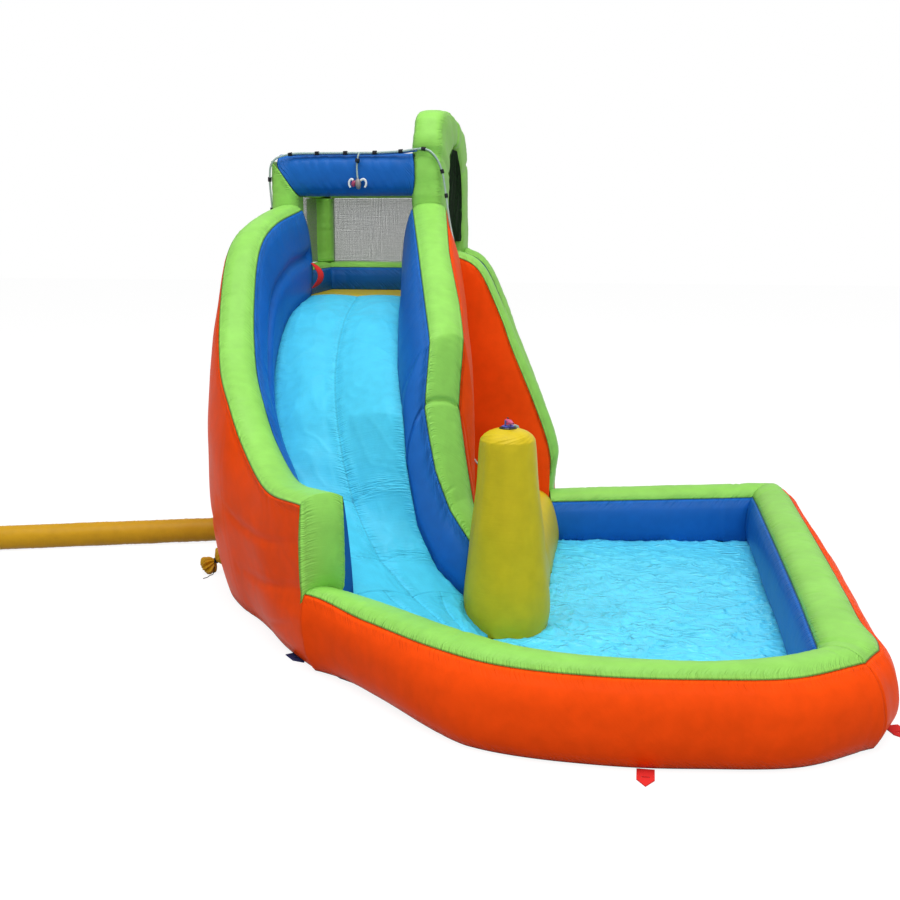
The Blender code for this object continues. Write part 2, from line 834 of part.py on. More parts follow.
def corner_share(x):
    """Height of the mitre between the front left post and the front beam at this x."""
    right = TOWER_LEFT + POST
    return BEAM_BOTTOM + (BEAM_TOP - BEAM_BOTTOM) * (right - x) / POST


def posts_and_beams():
    x_mid = TOWER_LEFT + POST / 2
    y_mid = TOWER_FRONT + POST_DEPTH / 2
    y_back = BACK_POST_FRONT + POST_DEPTH / 2
    z_mid = (BEAM_BOTTOM + BEAM_TOP) / 2
    beam_half = (BEAM_TOP - BEAM_BOTTOM) / 2
    foot = PARAPET_SEAM + PARAPET_CROWN + SEAT
    right = ARCH_CENTRE - ARCH_HALF - SEAT

    def front_post(a, b, t):
        x = x_mid + a
        return Vector((x, y_mid + b, foot + (corner_share(x) - SEAM_GAP - foot) * t))

    def front_beam(a, b, t):
        z = z_mid + a
        start = TOWER_LEFT + POST * (BEAM_TOP - z) / (BEAM_TOP - BEAM_BOTTOM) + SEAM_GAP
        return Vector((start + (right - start) * t, y_mid + b, z))

    def back_post(a, b, t):
        return Vector((x_mid + a, y_back + b, foot + (BEAM_BOTTOM - SEAT - foot) * t))

    def left_beam(a, b, t):
        start, end = TOWER_FRONT + POST_DEPTH + SEAT, BACK_POST_FRONT + POST_DEPTH
        return Vector((x_mid + a, start + (end - start) * t, z_mid + b))

    def back_beam(a, b, t):
        start = TOWER_LEFT + POST + SEAT
        return Vector((start + (right - start) * t, y_back + b, z_mid + a))

    tube_skin("front_left_post", POST / 2, POST_DEPTH / 2, front_post, (0, 1), GREEN)
    tube_skin("front_beam", beam_half, POST_DEPTH / 2, front_beam, (0, 0.5, 1), BLUE)
    tube_skin("back_left_post", POST / 2, POST_DEPTH / 2, back_post, (0, 1), GREEN)
    tube_skin("left_beam", POST / 2, beam_half, left_beam, (0, 1), GREEN)
    tube_skin("back_beam", beam_half, POST_DEPTH / 2, back_beam, (0, 1), GREEN)


def arch_stations():
    """Outer and inner points in the arch's plane, from the front leg's foot to the back leg's foot."""
    first, last = ARCH_KNOTS[0], ARCH_KNOTS[-1]
    front = (first[0], ARCH_LEG_BOTTOM, first[2], ARCH_LEG_BOTTOM)
    back = (last[0], ARCH_BACK_BOTTOM, last[2], ARCH_BACK_BOTTOM)
    return [front, *smooth(ARCH_KNOTS, 2), back]


def entrance_arch():
    """The tall arch over the head of the climbing ramp."""
    rings = []
    for depth in (0.0, SKIN):
        line = []
        for oy, oz, iy, iz in arch_stations():
            outer, inner = Vector((0, oy, oz)), Vector((0, iy, iz))
            middle, across = (outer + inner) / 2, (outer - inner) / 2
            half = across.length
            ring = []
            for a, b in rounded(ARCH_HALF - depth, half - depth, 12):
                ring.append(Vector((ARCH_CENTRE + a, 0, 0)) + middle + across.normalized() * b)
            line.append(ring)
        rings.append(line)
    pipe("entrance_arch", rings[0], rings[1], fabric("entrance_arch", GREEN))


# Nets


def net(name, left, right, bottom, top, gaps, place, colour):
    """A flat net: bars with square gaps between, made thick."""
    columns, rows = gaps
    ups = []
    for low, high, count in ((left, right, columns), (bottom, top, rows)):
        pitch = (high - low - NET_BAR) / count
        ups.append([low + pitch * (i // 2) + NET_BAR * (i % 2) for i in range(2 * count + 2)])
    points = [place(u, v) for v in ups[1] for u in ups[0]]
    across = len(ups[0])
    faces = []
    for j in range(len(ups[1]) - 1):
        for i in range(across - 1):
            if i % 2 == 0 or j % 2 == 0:
                corner = j * across + i
                faces.append((corner, corner + 1, corner + 1 + across, corner + across))
    mesh = bpy.data.meshes.new(name)
    mesh.from_pydata([tuple(p) for p in points], [], faces)
    mesh.materials.append(material(name + "_net", colour, 0.8))
    sheet = bpy.data.objects.new(name, mesh)
    bpy.data.collections[NAME].objects.link(sheet)
    thick = sheet.modifiers.new("thickness", "SOLIDIFY")
    thick.thickness = NET_SHEET
    thick.offset = 0
    return sheet


def nets():
    net_bottom = PARAPET_SEAM + PARAPET_CROWN + SEAT
    net_top = BEAM_BOTTOM - SEAT
    back_y = BACK_POST_FRONT + POST_DEPTH / 2
    side_x = TOWER_LEFT + POST / 2
    gap = 0.0005
    net(
        "back_net",
        TOWER_LEFT + POST + gap,
        ARCH_CENTRE - ARCH_HALF - gap,
        net_bottom,
        net_top,
        BACK_NET_GAPS,
        lambda u, v: Vector((u, back_y, v)),
        GREY,
    )
    net(
        "left_net",
        TOWER_FRONT + POST_DEPTH + gap,
        BACK_POST_FRONT - gap,
        net_bottom,
        net_top,
        LEFT_NET_GAPS,
        lambda u, v: Vector((side_x, u, v)),
        GREY,
    )


def entrance_net():
    """The hanging net in the arch, hung from its top hem, with its main folds."""
    rows = []
    steps = FLAP_FOLD_COUNT * 4
    for z, y0, y1 in FLAP_OUTLINE:
        hang = min(1.0, (FLAP_TOP - z) / FLAP_GATHER)
        row = []
        for i in range(steps + 1):
            t = i / steps
            fold = FLAP_FOLD_DEPTH * hang * math.sin(2 * math.pi * FLAP_FOLD_COUNT * t)
            row.append(Vector((FLAP_X + fold, y0 + (y1 - y0) * t, z)))
        rows.append(row)
    behind = [[p - Vector((NET_SHEET, 0, 0)) for p in row] for row in rows]
    made = sheet_between("entrance_net", rows, behind, material("entrance_net_mesh", "#1C2A20", 0.8))
    hang_point = Vector((FLAP_X, 0, FLAP_TOP))
    made.data.transform(Matrix.Translation(-hang_point))
    made.location = hang_point


# Climbing ramp


def turned_in(x):
    """Where a station of the near rail lies on the far rail, nearer to the tower."""
    start = RAIL_KNOTS[0][0]
    return max(x - RAMP_TURN, start + (x - start) * RAMP_TURN_START / RAMP_TURN)


def rail_stations(outer_y, inner_y, place):
    line = smooth(RAIL_KNOTS, 2)
    return [(place(x), outer_y, place(x), inner_y, crest, foot) for x, crest, foot in line]


def climbing_ramp():
    bulges = (RAIL_BULGE, RAIL_CROWN, 0.015)
    colours = (ORANGE, GREEN, BLUE)
    front = rail_stations(RAIL_FRONT, RAIL_FRONT + RAIL_WIDTH, float)
    back = rail_stations(RAIL_BACK, RAIL_BACK - RAIL_WIDTH, turned_in)
    for side, line in (("front", front), ("back", back)):
        names = [f"ramp_{side}_{part}" for part in ("outer", "top", "inner")]
        wall(names, line, rail_marks, bulges, (4, 3, 2), colours)
    low_y = RAIL_FRONT + RAIL_WIDTH + RAIL_LEAN - SKIN
    high_y = RAIL_BACK - RAIL_WIDTH - RAIL_LEAN + SKIN / 2
    line = [(x, foot) for x, _, foot in smooth(RAIL_KNOTS, 2)] + [RAMP_FOOT]
    rows = []
    for x, z in line:
        edges = Vector((x, low_y, z)), Vector((turned_in(x), high_y, z))
        rows.append(channelled(*edges, 1, RAMP_CROWN, 4, BED_HEM))
    below = [[p - Vector((SKIN, 0, SKIN)) for p in row] for row in rows]
    below[0] = [p + Vector((SKIN, 0, 0)) for p in below[0]]
    sheet_between("ramp_bed", rows, below, fabric("ramp_bed", YELLOW))


def climbing_loops():
    """A webbing sewn up the middle of the climbing bed at intervals, so that it stands off in loops."""
    first, last = LOOP_ROWS
    bed = [(x, foot + RAMP_CROWN) for x, _, foot in smooth(RAIL_KNOTS, 2)][first:last]
    spine = []
    for (x, z), (next_x, next_z) in zip(bed, bed[1:]):
        spine += [(x, z), ((x + next_x) / 2, (z + next_z) / 2)]
    steps = len(spine) - 1
    middle = (RAIL_FRONT + RAIL_BACK) / 2
    upper, lower = [], []
    for i, (x, z) in enumerate(spine):
        before, after = spine[max(i - 1, 0)], spine[min(i + 1, steps)]
        along = Vector((after[0] - before[0], 0, after[1] - before[1])).normalized()
        out = Vector((-along.z, 0, along.x))
        rise = LOOP_RISE * abs(math.sin(math.pi * LOOP_COUNT * i / steps)) + LOOP_SEAT
        centre = Vector(((x + turned_in(x)) / 2, middle, z)) + out * rise
        edges = [centre + Vector((0, side * LOOP_BAND / 2, 0)) for side in (-1, 1)]
        lower.append(edges)
        upper.append([edge + out * LOOP_THICK for edge in edges])
    sheet_between("climbing_loops", upper, lower, material("climbing_loops_webbing", BLACK, 0.7))


# Cannon column and cannon


def column_profile(grow):
    """Radius and height points of the column, bottom to top, made wider by so much."""
    line = [
        (COLUMN_FOOT_RADIUS, BASE),
        (COLUMN_RADIUS, 0.12),
        (COLUMN_RADIUS, 0.23),
        (COLUMN_RADIUS - 0.02, 0.43),
        (COLUMN_TOP_RADIUS + 0.012, 0.73),
        (COLUMN_TOP_RADIUS, COLUMN_HEIGHT - 0.08),
        (COLUMN_TOP_RADIUS - 0.015, COLUMN_HEIGHT - 0.025),
        (CANNON_PAD_RADIUS, COLUMN_HEIGHT),
    ]
    return [(r + grow, z) for r, z in line]


def turned(name, profile, steps, surface, at):
    """A turned solid from a profile of radius and height that runs top to bottom."""
    mesh = bpy.data.meshes.new(name)
    mesh.from_pydata([(r, 0, z) for r, z in profile], [(i, i + 1) for i in range(len(profile) - 1)], [])
    if profile[0][0] > 0 or profile[-1][0] > 0:
        mesh.clear_geometry()
        ring = [(i, (i + 1) % len(profile)) for i in range(len(profile))]
        mesh.from_pydata([(r, 0, z) for r, z in profile], ring, [])
    mesh.materials.append(surface)
    made = bpy.data.objects.new(name, mesh)
    bpy.data.collections[NAME].objects.link(made)
    made.location = at
    spin = made.modifiers.new("turn", "SCREW")
    spin.steps = spin.render_steps = steps
    spin.use_merge_vertices = True
    spin.merge_threshold = 0.00001
    spin.use_smooth_shade = True
    return made


def column_clearance():
    """A solid column, a seam gap wider than the real one, to cut its neighbours with."""
    outline = column_profile(SEAM_GAP)
    (foot, _), (top, high) = outline[0], outline[-1]
    profile = [(0, high + 0.01), (top, high + 0.01), *reversed(outline), (foot, -0.01), (0, -0.01)]
    surface = fabric("column_clearance", YELLOW)
    return as_cutter(turned("column_clearance", profile, 20, surface, (COLUMN_X, COLUMN_Y, 0)))


def cannon_column():
    outer = column_profile(0)
    inner = [(r - SKIN, z - SKIN * (i / (len(outer) - 1))) for i, (r, z) in enumerate(outer)]
    inner[0] = (inner[0][0], outer[0][1])
    profile = [(0, COLUMN_HEIGHT), *reversed(outer), *inner, (0, COLUMN_HEIGHT - SKIN)]
    return turned("cannon_column", profile, 20, fabric("cannon_column", YELLOW), (COLUMN_X, COLUMN_Y, 0))


def cannon():
    """Pad on the column, a ring that turns on it, a barrel that tilts in the ring's cheeks, a trigger."""
    top = COLUMN_HEIGHT + SEAT
    turned(
        "cannon_pad",
        [
            (0, CANNON_PAD),
            (CANNON_PAD_RADIUS - 0.006, CANNON_PAD),
            (CANNON_PAD_RADIUS, 0.003),
            (CANNON_PAD_RADIUS, 0),
            (0, 0),
        ],
        24,
        material("cannon_pad_plastic", BLACK, 0.4),
        (COLUMN_X, COLUMN_Y, top),
    )
    ring_z = top + CANNON_PAD + SEAT
    ring = turned(
        "cannon_ring",
        [
            (0, CANNON_RING * 0.6),
            (CANNON_RING_RADIUS * 0.55, CANNON_RING * 0.6),
            (CANNON_RING_RADIUS * 0.7, CANNON_RING),
            (CANNON_RING_RADIUS * 0.85, CANNON_RING),
            (CANNON_RING_RADIUS, CANNON_RING * 0.6),
            (CANNON_RING_RADIUS, 0),
            (0, 0),
        ],
        24,
        material("cannon_ring_plastic", PURPLE, 0.35),
        (COLUMN_X, COLUMN_Y, ring_z),
    )
    cheeks(ring, ring_z)
    pivot = Vector((COLUMN_X, COLUMN_Y, ring_z + CANNON_PIVOT))
    barrel(pivot)
    trigger(pivot)


def union(obj, other):
    """Joins a solid to the object with a Boolean."""
    step = obj.modifiers.new("join_" + other.name, "BOOLEAN")
    step.operation = "UNION"
    step.solver = "EXACT"
    step.object = other
    as_cutter(other)


def cheeks(ring, ring_z):
    """Two upright cheeks that carry the barrel."""
    aim = Matrix.Translation((COLUMN_X, COLUMN_Y, ring_z)) @ Matrix.Rotation(CANNON_YAW, 4, "Z")
    for side in (-1, 1):
        bpy.ops.mesh.primitive_cube_add(size=1)
        cheek = placed(bpy.context.object)
        cheek.name = f"cheek_{side}"
        cheek.data.transform(Matrix.Diagonal((*CHEEK, 1)))
        out = Vector((0, side * CHEEK_OUT, CHEEK[2] / 2 + 0.002))
        cheek.matrix_world = aim @ Matrix.Translation(out)
        union(ring, cheek)


def barrel(pivot):
    """A stepped nozzle with its bore, turned about its own axis, tilting on the cheeks' pins."""
    r, long = CANNON_BARREL_RADIUS, CANNON_BARREL
    back = -CANNON_BARREL_BEHIND * long
    profile = [
        (0, long * 0.5 + back),
        (CANNON_BORE, long * 0.5 + back),
        (CANNON_BORE, long + back),
        (r * 0.45, long + back),
        (r * 0.6, long * 0.72 + back),
        (r * 0.95, long * 0.62 + back),
        (r, long * 0.2 + back),
        (r * 0.8, back),
        (0, back),
    ]
    made = turned("cannon_barrel", profile, 20, material("cannon_barrel_plastic", PINK, 0.3), pivot)
    made.rotation_euler = (0, math.radians(90), CANNON_YAW)


def trigger(pivot):
    """The thumb lever behind the barrel, hinged at its front edge."""
    bpy.ops.mesh.primitive_cube_add(size=1)
    made = placed(bpy.context.object)
    made.name = made.data.name = "cannon_trigger"
    made.data.transform(Matrix.Translation((-TRIGGER[0] / 2, 0, 0)) @ Matrix.Diagonal((*TRIGGER, 1)))
    made.data.materials.append(material("cannon_trigger_plastic", BLACK, 0.4))
    rise = CANNON_BARREL_RADIUS + TRIGGER[2] / 2 + TRIGGER_GAP
    aim = Matrix.Translation(pivot) @ Matrix.Rotation(CANNON_YAW, 4, "Z")
    made.matrix_world = aim @ Matrix.Translation((0.004, 0, rise)) @ Matrix.Rotation(TRIGGER_TILT, 4, "Y")
    bevel = made.modifiers.new("edges", "BEVEL")
    bevel.width = 0.001
    bevel.segments = 1


# Sprinkler hose


def hose_line():
    return [Vector(p) for p in smooth(HOSE_ROUTE, 2)]


def tube_curve(name, points, radius, surface, resolution=2):
    """A round bar along the points, with filled caps."""
    curve = bpy.data.curves.new(name, "CURVE")
    curve.dimensions = "3D"
    spline = curve.splines.new("POLY")
    spline.points.add(len(points) - 1)
    for slot, point in zip(spline.points, points):
        slot.co = (*point, 1)
    curve.bevel_depth = radius
    curve.bevel_resolution = resolution
    curve.use_fill_caps = True
    curve.materials.append(surface)
    made = bpy.data.objects.new(name, curve)
    bpy.data.collections[NAME].objects.link(made)
    return made


def sprinkler_hose():
    tube_curve("sprinkler_hose", hose_line(), HOSE_RADIUS, material("sprinkler_hose_pvc", CLEAR, 0.25))


def band_rings(centre, way, inner, outer, length, count=8):
    """Points of a short ring round an axis: two outer and two inner loops."""
    side = way.orthogonal().normalized()
    up = way.cross(side)
    loops = []
    for radius, at in ((outer, -0.5), (outer, 0.5), (inner, 0.5), (inner, -0.5)):
        loop = []
        for i in range(count):
            turn = 2 * math.pi * i / count
            loop.append(centre + way * at * length + (side * math.cos(turn) + up * math.sin(turn)) * radius)
        loops.append(loop)
    return loops


def bands(name, places, inner, outer, length, surface):
    """Short rings round an axis at several places."""
    points, faces = [], []
    for centre, way in places:
        start = len(points)
        loops = band_rings(centre, way, inner, outer, length)
        count = len(loops[0])
        points += [p for loop in loops for p in loop]
        for s in range(4):
            a, b = start + s * count, start + (s + 1) % 4 * count
            faces += [(a + i, a + (i + 1) % count, b + (i + 1) % count, b + i) for i in range(count)]
    return add_object(name, points, faces, surface)


def strap_tape():
    """The tape sewn along beam and arch under the hose, with the loops that hold the hose on it."""
    line = hose_line()
    first, last = 2 * STRAP_KNOTS[0], 2 * STRAP_KNOTS[-1]
    places = [(line[i], (line[i + 1] - line[i - 1]).normalized()) for i in range(first, last + 1)]
    upper, lower = [], []
    beam_y, beam_z = TOWER_FRONT + POST_DEPTH / 2, BEAM_TOP - POST_DEPTH / 2
    for centre, way in places:
        inward = Vector((0, beam_y - centre.y, beam_z - centre.z))
        inward = (inward - way * inward.dot(way)).normalized()
        side = way.cross(inward) * STRAP_LENGTH / 2
        near, far = centre + inward * STRAP_SEAT, centre + inward * (STRAP_SEAT + LOOP_THICK / 2)
        upper.append([near - side, near + side])
        lower.append([far - side, far + side])
    surface = material("strap_tape_webbing", BLACK, 0.7)
    tape = sheet_between("strap_tape", upper, lower, surface)
    inner = HOSE_RADIUS + STRAP_PLAY
    union(tape, bands("strap_loops", places[::2], inner, STRAP_RADIUS, STRAP_LENGTH, surface))


def spray_nozzle():
    """The mister on the beam: a branch that leaves the hose forwards, its clip, a drop tube and its tip."""
    centre = hose_line()[int(2 * NOZZLE_KNOT)]
    y = TOWER_FRONT - 0.012
    start = centre.y - HOSE_RADIUS - SEAT
    top = centre.z
    shape = [
        (start, top, 0.004),
        (y, top - 0.001, 0.004),
        (y - 0.004, top - 0.012, 0.004),
        (y - 0.004, top - 0.030, 0.004),
        (y - 0.004, top - 0.032, 0.008),
        (y - 0.004, top - 0.056, 0.008),
        (y - 0.004, top - 0.058, 0.003),
        (y - 0.004, top - 0.105, 0.003),
        (y - 0.004, top - 0.108, 0.0065),
        (y - 0.004, top - 0.118, 0.0065),
        (y - 0.004, top - 0.124, 0.004),
    ]
    points = [Vector((centre.x, across, high)) for across, high, _ in shape]
    made = tube_curve("spray_nozzle", points, 1.0, material("spray_nozzle_plastic", BLACK, 0.4))
    for slot, (_, _, radius) in zip(made.data.splines[0].points, shape):
        slot.radius = radius


def hose_coupling():
    """The swivel nut that screws on a garden hose, below the end of the sprinkler hose."""
    end, before = hose_line()[0], hose_line()[1]
    way = (end - before).normalized()
    middle = end + way * (NUT_LENGTH / 2 - NUT_GRIP)
    loops = band_rings(middle, way, HOSE_RADIUS + NUT_PLAY, NUT_RADIUS, NUT_LENGTH, 12)
    points = [p for loop in loops for p in loop]
    faces = []
    for s in range(4):
        a, b = s * 12, (s + 1) % 4 * 12
        faces += [(a + i, a + (i + 1) % 12, b + (i + 1) % 12, b + i) for i in range(12)]
    add_object("hose_coupling", points, faces, material("hose_coupling_plastic", BLACK, 0.4))


# Handle, tabs, duct and sleeve


def grab_handle():
    """Red webbing at the head of the slide, sewn on at both ends and bowed between."""
    front = TOWER_FRONT - HANDLE_FRONT
    back = front + HANDLE_WIDTH
    face = SLIDE_LEFT_KNOTS[0][2] + HANDLE_FACE
    points = []
    for i in range(HANDLE_STEPS + 1):
        t = i / HANDLE_STEPS
        z = DECK + HANDLE_ABOVE_DECK + HANDLE_HEIGHT * t
        near = face + HANDLE_BOW * math.sin(math.pi * t) ** 0.8
        far = near + HANDLE_THICK
        corners = ((near, front), (near, back), (far, back), (far, front))
        points += [Vector((x, y, z)) for x, y in corners]
    faces = []
    for low in range(0, 4 * HANDLE_STEPS, 4):
        for j in range(4):
            after = (j + 1) % 4
            faces.append((low + j, low + after, low + 4 + after, low + 4 + j))
    end = 4 * HANDLE_STEPS
    faces += [(0, 1, 2, 3), (end, end + 1, end + 2, end + 3)]
    add_object("grab_handle", points, faces, material("grab_handle_webbing", RED, 0.7))


def anchor_tabs():
    """Pointed tabs with a slot each, flat on the ground at the edge of the base sheet."""
    half, neck = TAB_WIDTH / 2, TAB_LENGTH * 0.62
    outline = [(0, -half), (neck, -half), (TAB_LENGTH, 0), (neck, half), (0, half)]
    wide, deep = TAB_SLOT
    start = TAB_LENGTH * 0.45
    slot = [(start, -wide / 2), (start + deep, -wide / 2), (start + deep, wide / 2), (start, wide / 2)]
    for name, (x, y, heading, colour) in TAB_PLACES.items():
        surface = material(name + "_webbing", colour, 0.6)
        tab = flat_sheet(name, [outline, slot], 0, SHEET, surface)
        tab.location.x, tab.location.y = x, y
        tab.rotation_euler.z = math.radians(heading)


def duct():
    """The inflation duct to the blower, flattened a little where it lies, with an open mouth."""
    start, end = Vector((*DUCT_START, 0)), Vector((*DUCT_END, 0))
    way = (end - start).normalized()
    side = way.cross(Vector((0, 0, 1)))
    axis = DUCT_RADIUS * DUCT_FLAT
    rings = []
    for grow in (0.0, SKIN):
        line = []
        for t, girth in DUCT_GIRTHS:
            centre = start.lerp(end, t)
            radius = DUCT_RADIUS * girth - grow
            ring = []
            for i in range(16):
                turn = 2 * math.pi * (i + 0.5) / 16
                z = max(math.sin(turn) * radius, grow - axis)
                ring.append(centre + side * math.cos(turn) * radius + Vector((0, 0, z + axis)))
            line.append(ring)
        rings.append(line)
    pipe("inflation_duct", rings[0], rings[1], fabric("inflation_duct", YELLOW))


def sleeve():
    """The deflation sleeve: a short gathered tube, tied at its neck, with a ruffled end."""
    place = (SLEEVE_X, SLEEVE_Y, SLEEVE_Z)
    made = turned("deflation_sleeve", SLEEVE_PROFILE, 16, fabric("deflation_sleeve", YELLOW), place)
    made.rotation_euler = (0, -SLEEVE_DROOP, SLEEVE_TURN)


# Ground sheet and pool floor


def flat_sheet(name, loops, low, thickness, surface):
    """A flat outline, with holes if more loops follow, as a 2D curve with a thickness."""
    curve = bpy.data.curves.new(name, "CURVE")
    curve.dimensions = "2D"
    curve.fill_mode = "BOTH"
    curve.extrude = thickness / 2
    for loop in loops:
        spline = curve.splines.new("POLY")
        spline.points.add(len(loop) - 1)
        for target, (x, y) in zip(spline.points, loop):
            target.co = (x, y, 0, 1)
        spline.use_cyclic_u = True
    curve.materials.append(surface)
    made = bpy.data.objects.new(name, curve)
    bpy.data.collections[NAME].objects.link(made)
    made.location = (0, 0, low + thickness / 2)
    return made


def base_sheet(left, pools):
    """The ground sheet under the tower, the slide, the ramp and the pool."""
    outline = foot_points(left, SLIDE_TOE)[2:]
    for side in ("front", "right", "back"):
        outline += foot_points(pools[side], POOL_TOE_OUTER)[1:]
    outline += [(RAMP_FOOT[0], RAIL_FRONT), (RAMP_FOOT[0], RAIL_BACK), (TOWER_RIGHT, RAIL_BACK)]
    outline += [(TOWER_RIGHT, TOWER_BACK), (TOWER_LEFT, TOWER_BACK), (TOWER_LEFT, TOWER_FRONT)]
    flat_sheet("base_sheet", [outline], 0, SHEET, fabric("base_sheet", NAVY))


def inner_feet(stations, out):
    """Plan points so far beyond the walls' inner seam."""
    points = []
    for ox, oy, ix, iy in stations:
        reach = out / math.dist((ox, oy), (ix, iy))
        points.append((ix + (ix - ox) * reach, iy + (iy - oy) * reach))
    return points


def pool_floor(pools):
    """The pool's own floor, inside the feet of its walls."""
    walls = inner_feet(pools["front"] + pools["right"][1:] + pools["back"][1:], POOL_TOE_INNER + FLOOR_GAP)
    end = RUNOUT_KNOTS[-1]
    around = [p for p in walls if p[0] > end[0] + FLOOR_GAP or p[1] > 0]
    closing = inner_feet(smooth(LOW_WALL_KNOTS, 2), LOW_WALL_TOE + FLOOR_GAP)
    reach = COLUMN_RADIUS + FLOOR_GAP
    turns = [math.radians(t) for t in (5, -15, -40, -70, -100)]
    ring = [(COLUMN_X + reach * math.cos(t), COLUMN_Y + reach * math.sin(t)) for t in turns]
    runout = [(end[2] + FLOOR_GAP, end[3]), (end[0] + FLOOR_GAP, end[1])]
    flat_sheet("pool_floor", [[*around, *closing, *ring, *runout]], BASE, SHEET, fabric("pool_floor", AQUA))


def main():
    for obj in list(bpy.data.objects):
        bpy.data.objects.remove(obj)
    for name in (NAME, "cutters"):
        bpy.context.scene.collection.children.link(bpy.data.collections.new(name))
    pools = pool_stations()
    left, right = slide_stations()
    clearance = column_clearance()
    pool_walls(pools)
    slide_walls(left, right, clearance)
    slide_end_panel(SLIDE_LEFT_KNOTS[-1], POOL_FRONT_KNOTS[0])
    rows = slide_bed(left, right, clearance)
    slide_runout(left[-1], right[-1], clearance)
    slide_webs(rows)
    low_wall(clearance)
    parapet(parapet_stations())
    tower_panels()
    posts_and_beams()
    entrance_arch()
    nets()
    entrance_net()
    climbing_ramp()
    climbing_loops()
    cannon_column()
    cannon()
    sprinkler_hose()
    strap_tape()
    spray_nozzle()
    hose_coupling()
    grab_handle()
    anchor_tabs()
    duct()
    sleeve()
    base_sheet(left, pools)
    pool_floor(pools)


if __name__ == "__main__":
    main()
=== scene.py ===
"""Inflatable water park, dressed: sewn and inflated fabric, nets, webbing, hose and moulded plastic.

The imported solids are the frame. Metres, +Z up, and the viewer stands at -Y.
"""

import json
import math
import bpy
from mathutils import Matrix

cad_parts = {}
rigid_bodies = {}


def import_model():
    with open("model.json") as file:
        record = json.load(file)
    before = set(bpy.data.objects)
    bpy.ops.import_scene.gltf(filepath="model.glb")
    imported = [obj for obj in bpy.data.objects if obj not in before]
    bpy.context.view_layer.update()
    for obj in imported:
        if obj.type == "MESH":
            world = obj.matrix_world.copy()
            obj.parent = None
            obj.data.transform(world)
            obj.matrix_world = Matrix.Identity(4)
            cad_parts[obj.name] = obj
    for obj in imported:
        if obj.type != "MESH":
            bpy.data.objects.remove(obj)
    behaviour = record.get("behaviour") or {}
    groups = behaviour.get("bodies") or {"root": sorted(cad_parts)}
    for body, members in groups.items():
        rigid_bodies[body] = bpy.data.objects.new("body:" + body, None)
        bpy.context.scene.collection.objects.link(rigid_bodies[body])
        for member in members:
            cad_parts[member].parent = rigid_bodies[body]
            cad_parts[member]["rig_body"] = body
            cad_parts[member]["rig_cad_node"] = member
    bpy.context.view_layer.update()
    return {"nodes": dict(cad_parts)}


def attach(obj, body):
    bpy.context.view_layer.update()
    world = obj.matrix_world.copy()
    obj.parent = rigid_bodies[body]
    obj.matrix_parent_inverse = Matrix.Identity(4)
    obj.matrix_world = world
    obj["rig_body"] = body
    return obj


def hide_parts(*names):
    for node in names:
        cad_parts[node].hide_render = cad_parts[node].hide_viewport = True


bl_info = {
    "name": "Inflatable Water Park",
    "version": (1, 0, 0),
    "blender": (4, 5, 0),
    "location": "View3D > Sidebar > Water Park",
    "description": "Builds the panels, fittings and stage of an inflatable water park",
    "category": "Object",
}

import bmesh
import bpy
import numpy as np
from mathutils import Matrix, Vector, noise

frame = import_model()
PARK = "water_park"

# Plan of the pool walls: outer seam x, y, inner seam x, y
POOL_CORNER_FRONT = (2.255, -1.675, 2.10, -1.53)
POOL_CORNER_BACK = (2.28, 1.26, 2.10, 1.09)
POOL_FRONT_KNOTS = [
    (-0.032, -1.398, 0.145, -1.19), (0.26, -1.51, 0.39, -1.32), (0.61, -1.77, 0.75, -1.575),
    (0.91, -1.925, 1.01, -1.72), (1.28, -1.97, 1.31, -1.76), (1.64, -1.94, 1.61, -1.755),
    (1.98, -1.87, 1.91, -1.67),
    POOL_CORNER_FRONT,
]
POOL_RIGHT_KNOTS = [(2.315, -1.53, 2.11, -1.44), (2.32, -0.36, 2.11, -0.36), (2.31, 1.02, 2.105, 0.88)]
POOL_BACK_KNOTS = [(2.10, 1.30, 2.02, 1.085), (0.935, 1.17, 0.96, 0.96), (0.888, 1.167, 0.91, 0.957)]
POOL_OUTER, POOL_INNER = 0.325, 0.295
POOL_TOE = (0.06, 0.015)
POOL_BULGES = (0.065, 0.045, 0.035)

# The outer walls' feet are tucked under near this place
TUCK_PLACE, TUCK, TUCK_REACH = (-0.15, -1.10), 0.08, 1.25

LOW_WALL_KNOTS = [
    (0.66, 0.95, 0.86, 0.95), (0.70, 0.30, 0.87, 0.30), (0.79, -0.24, 0.89, -0.28),
    (0.83, -0.44, 0.88, -0.47),
]
LOW_WALL_SEAM, LOW_WALL_TOE = 0.22, 0.06
LOW_WALL_BULGES = (0.02, 0.05, 0.02)

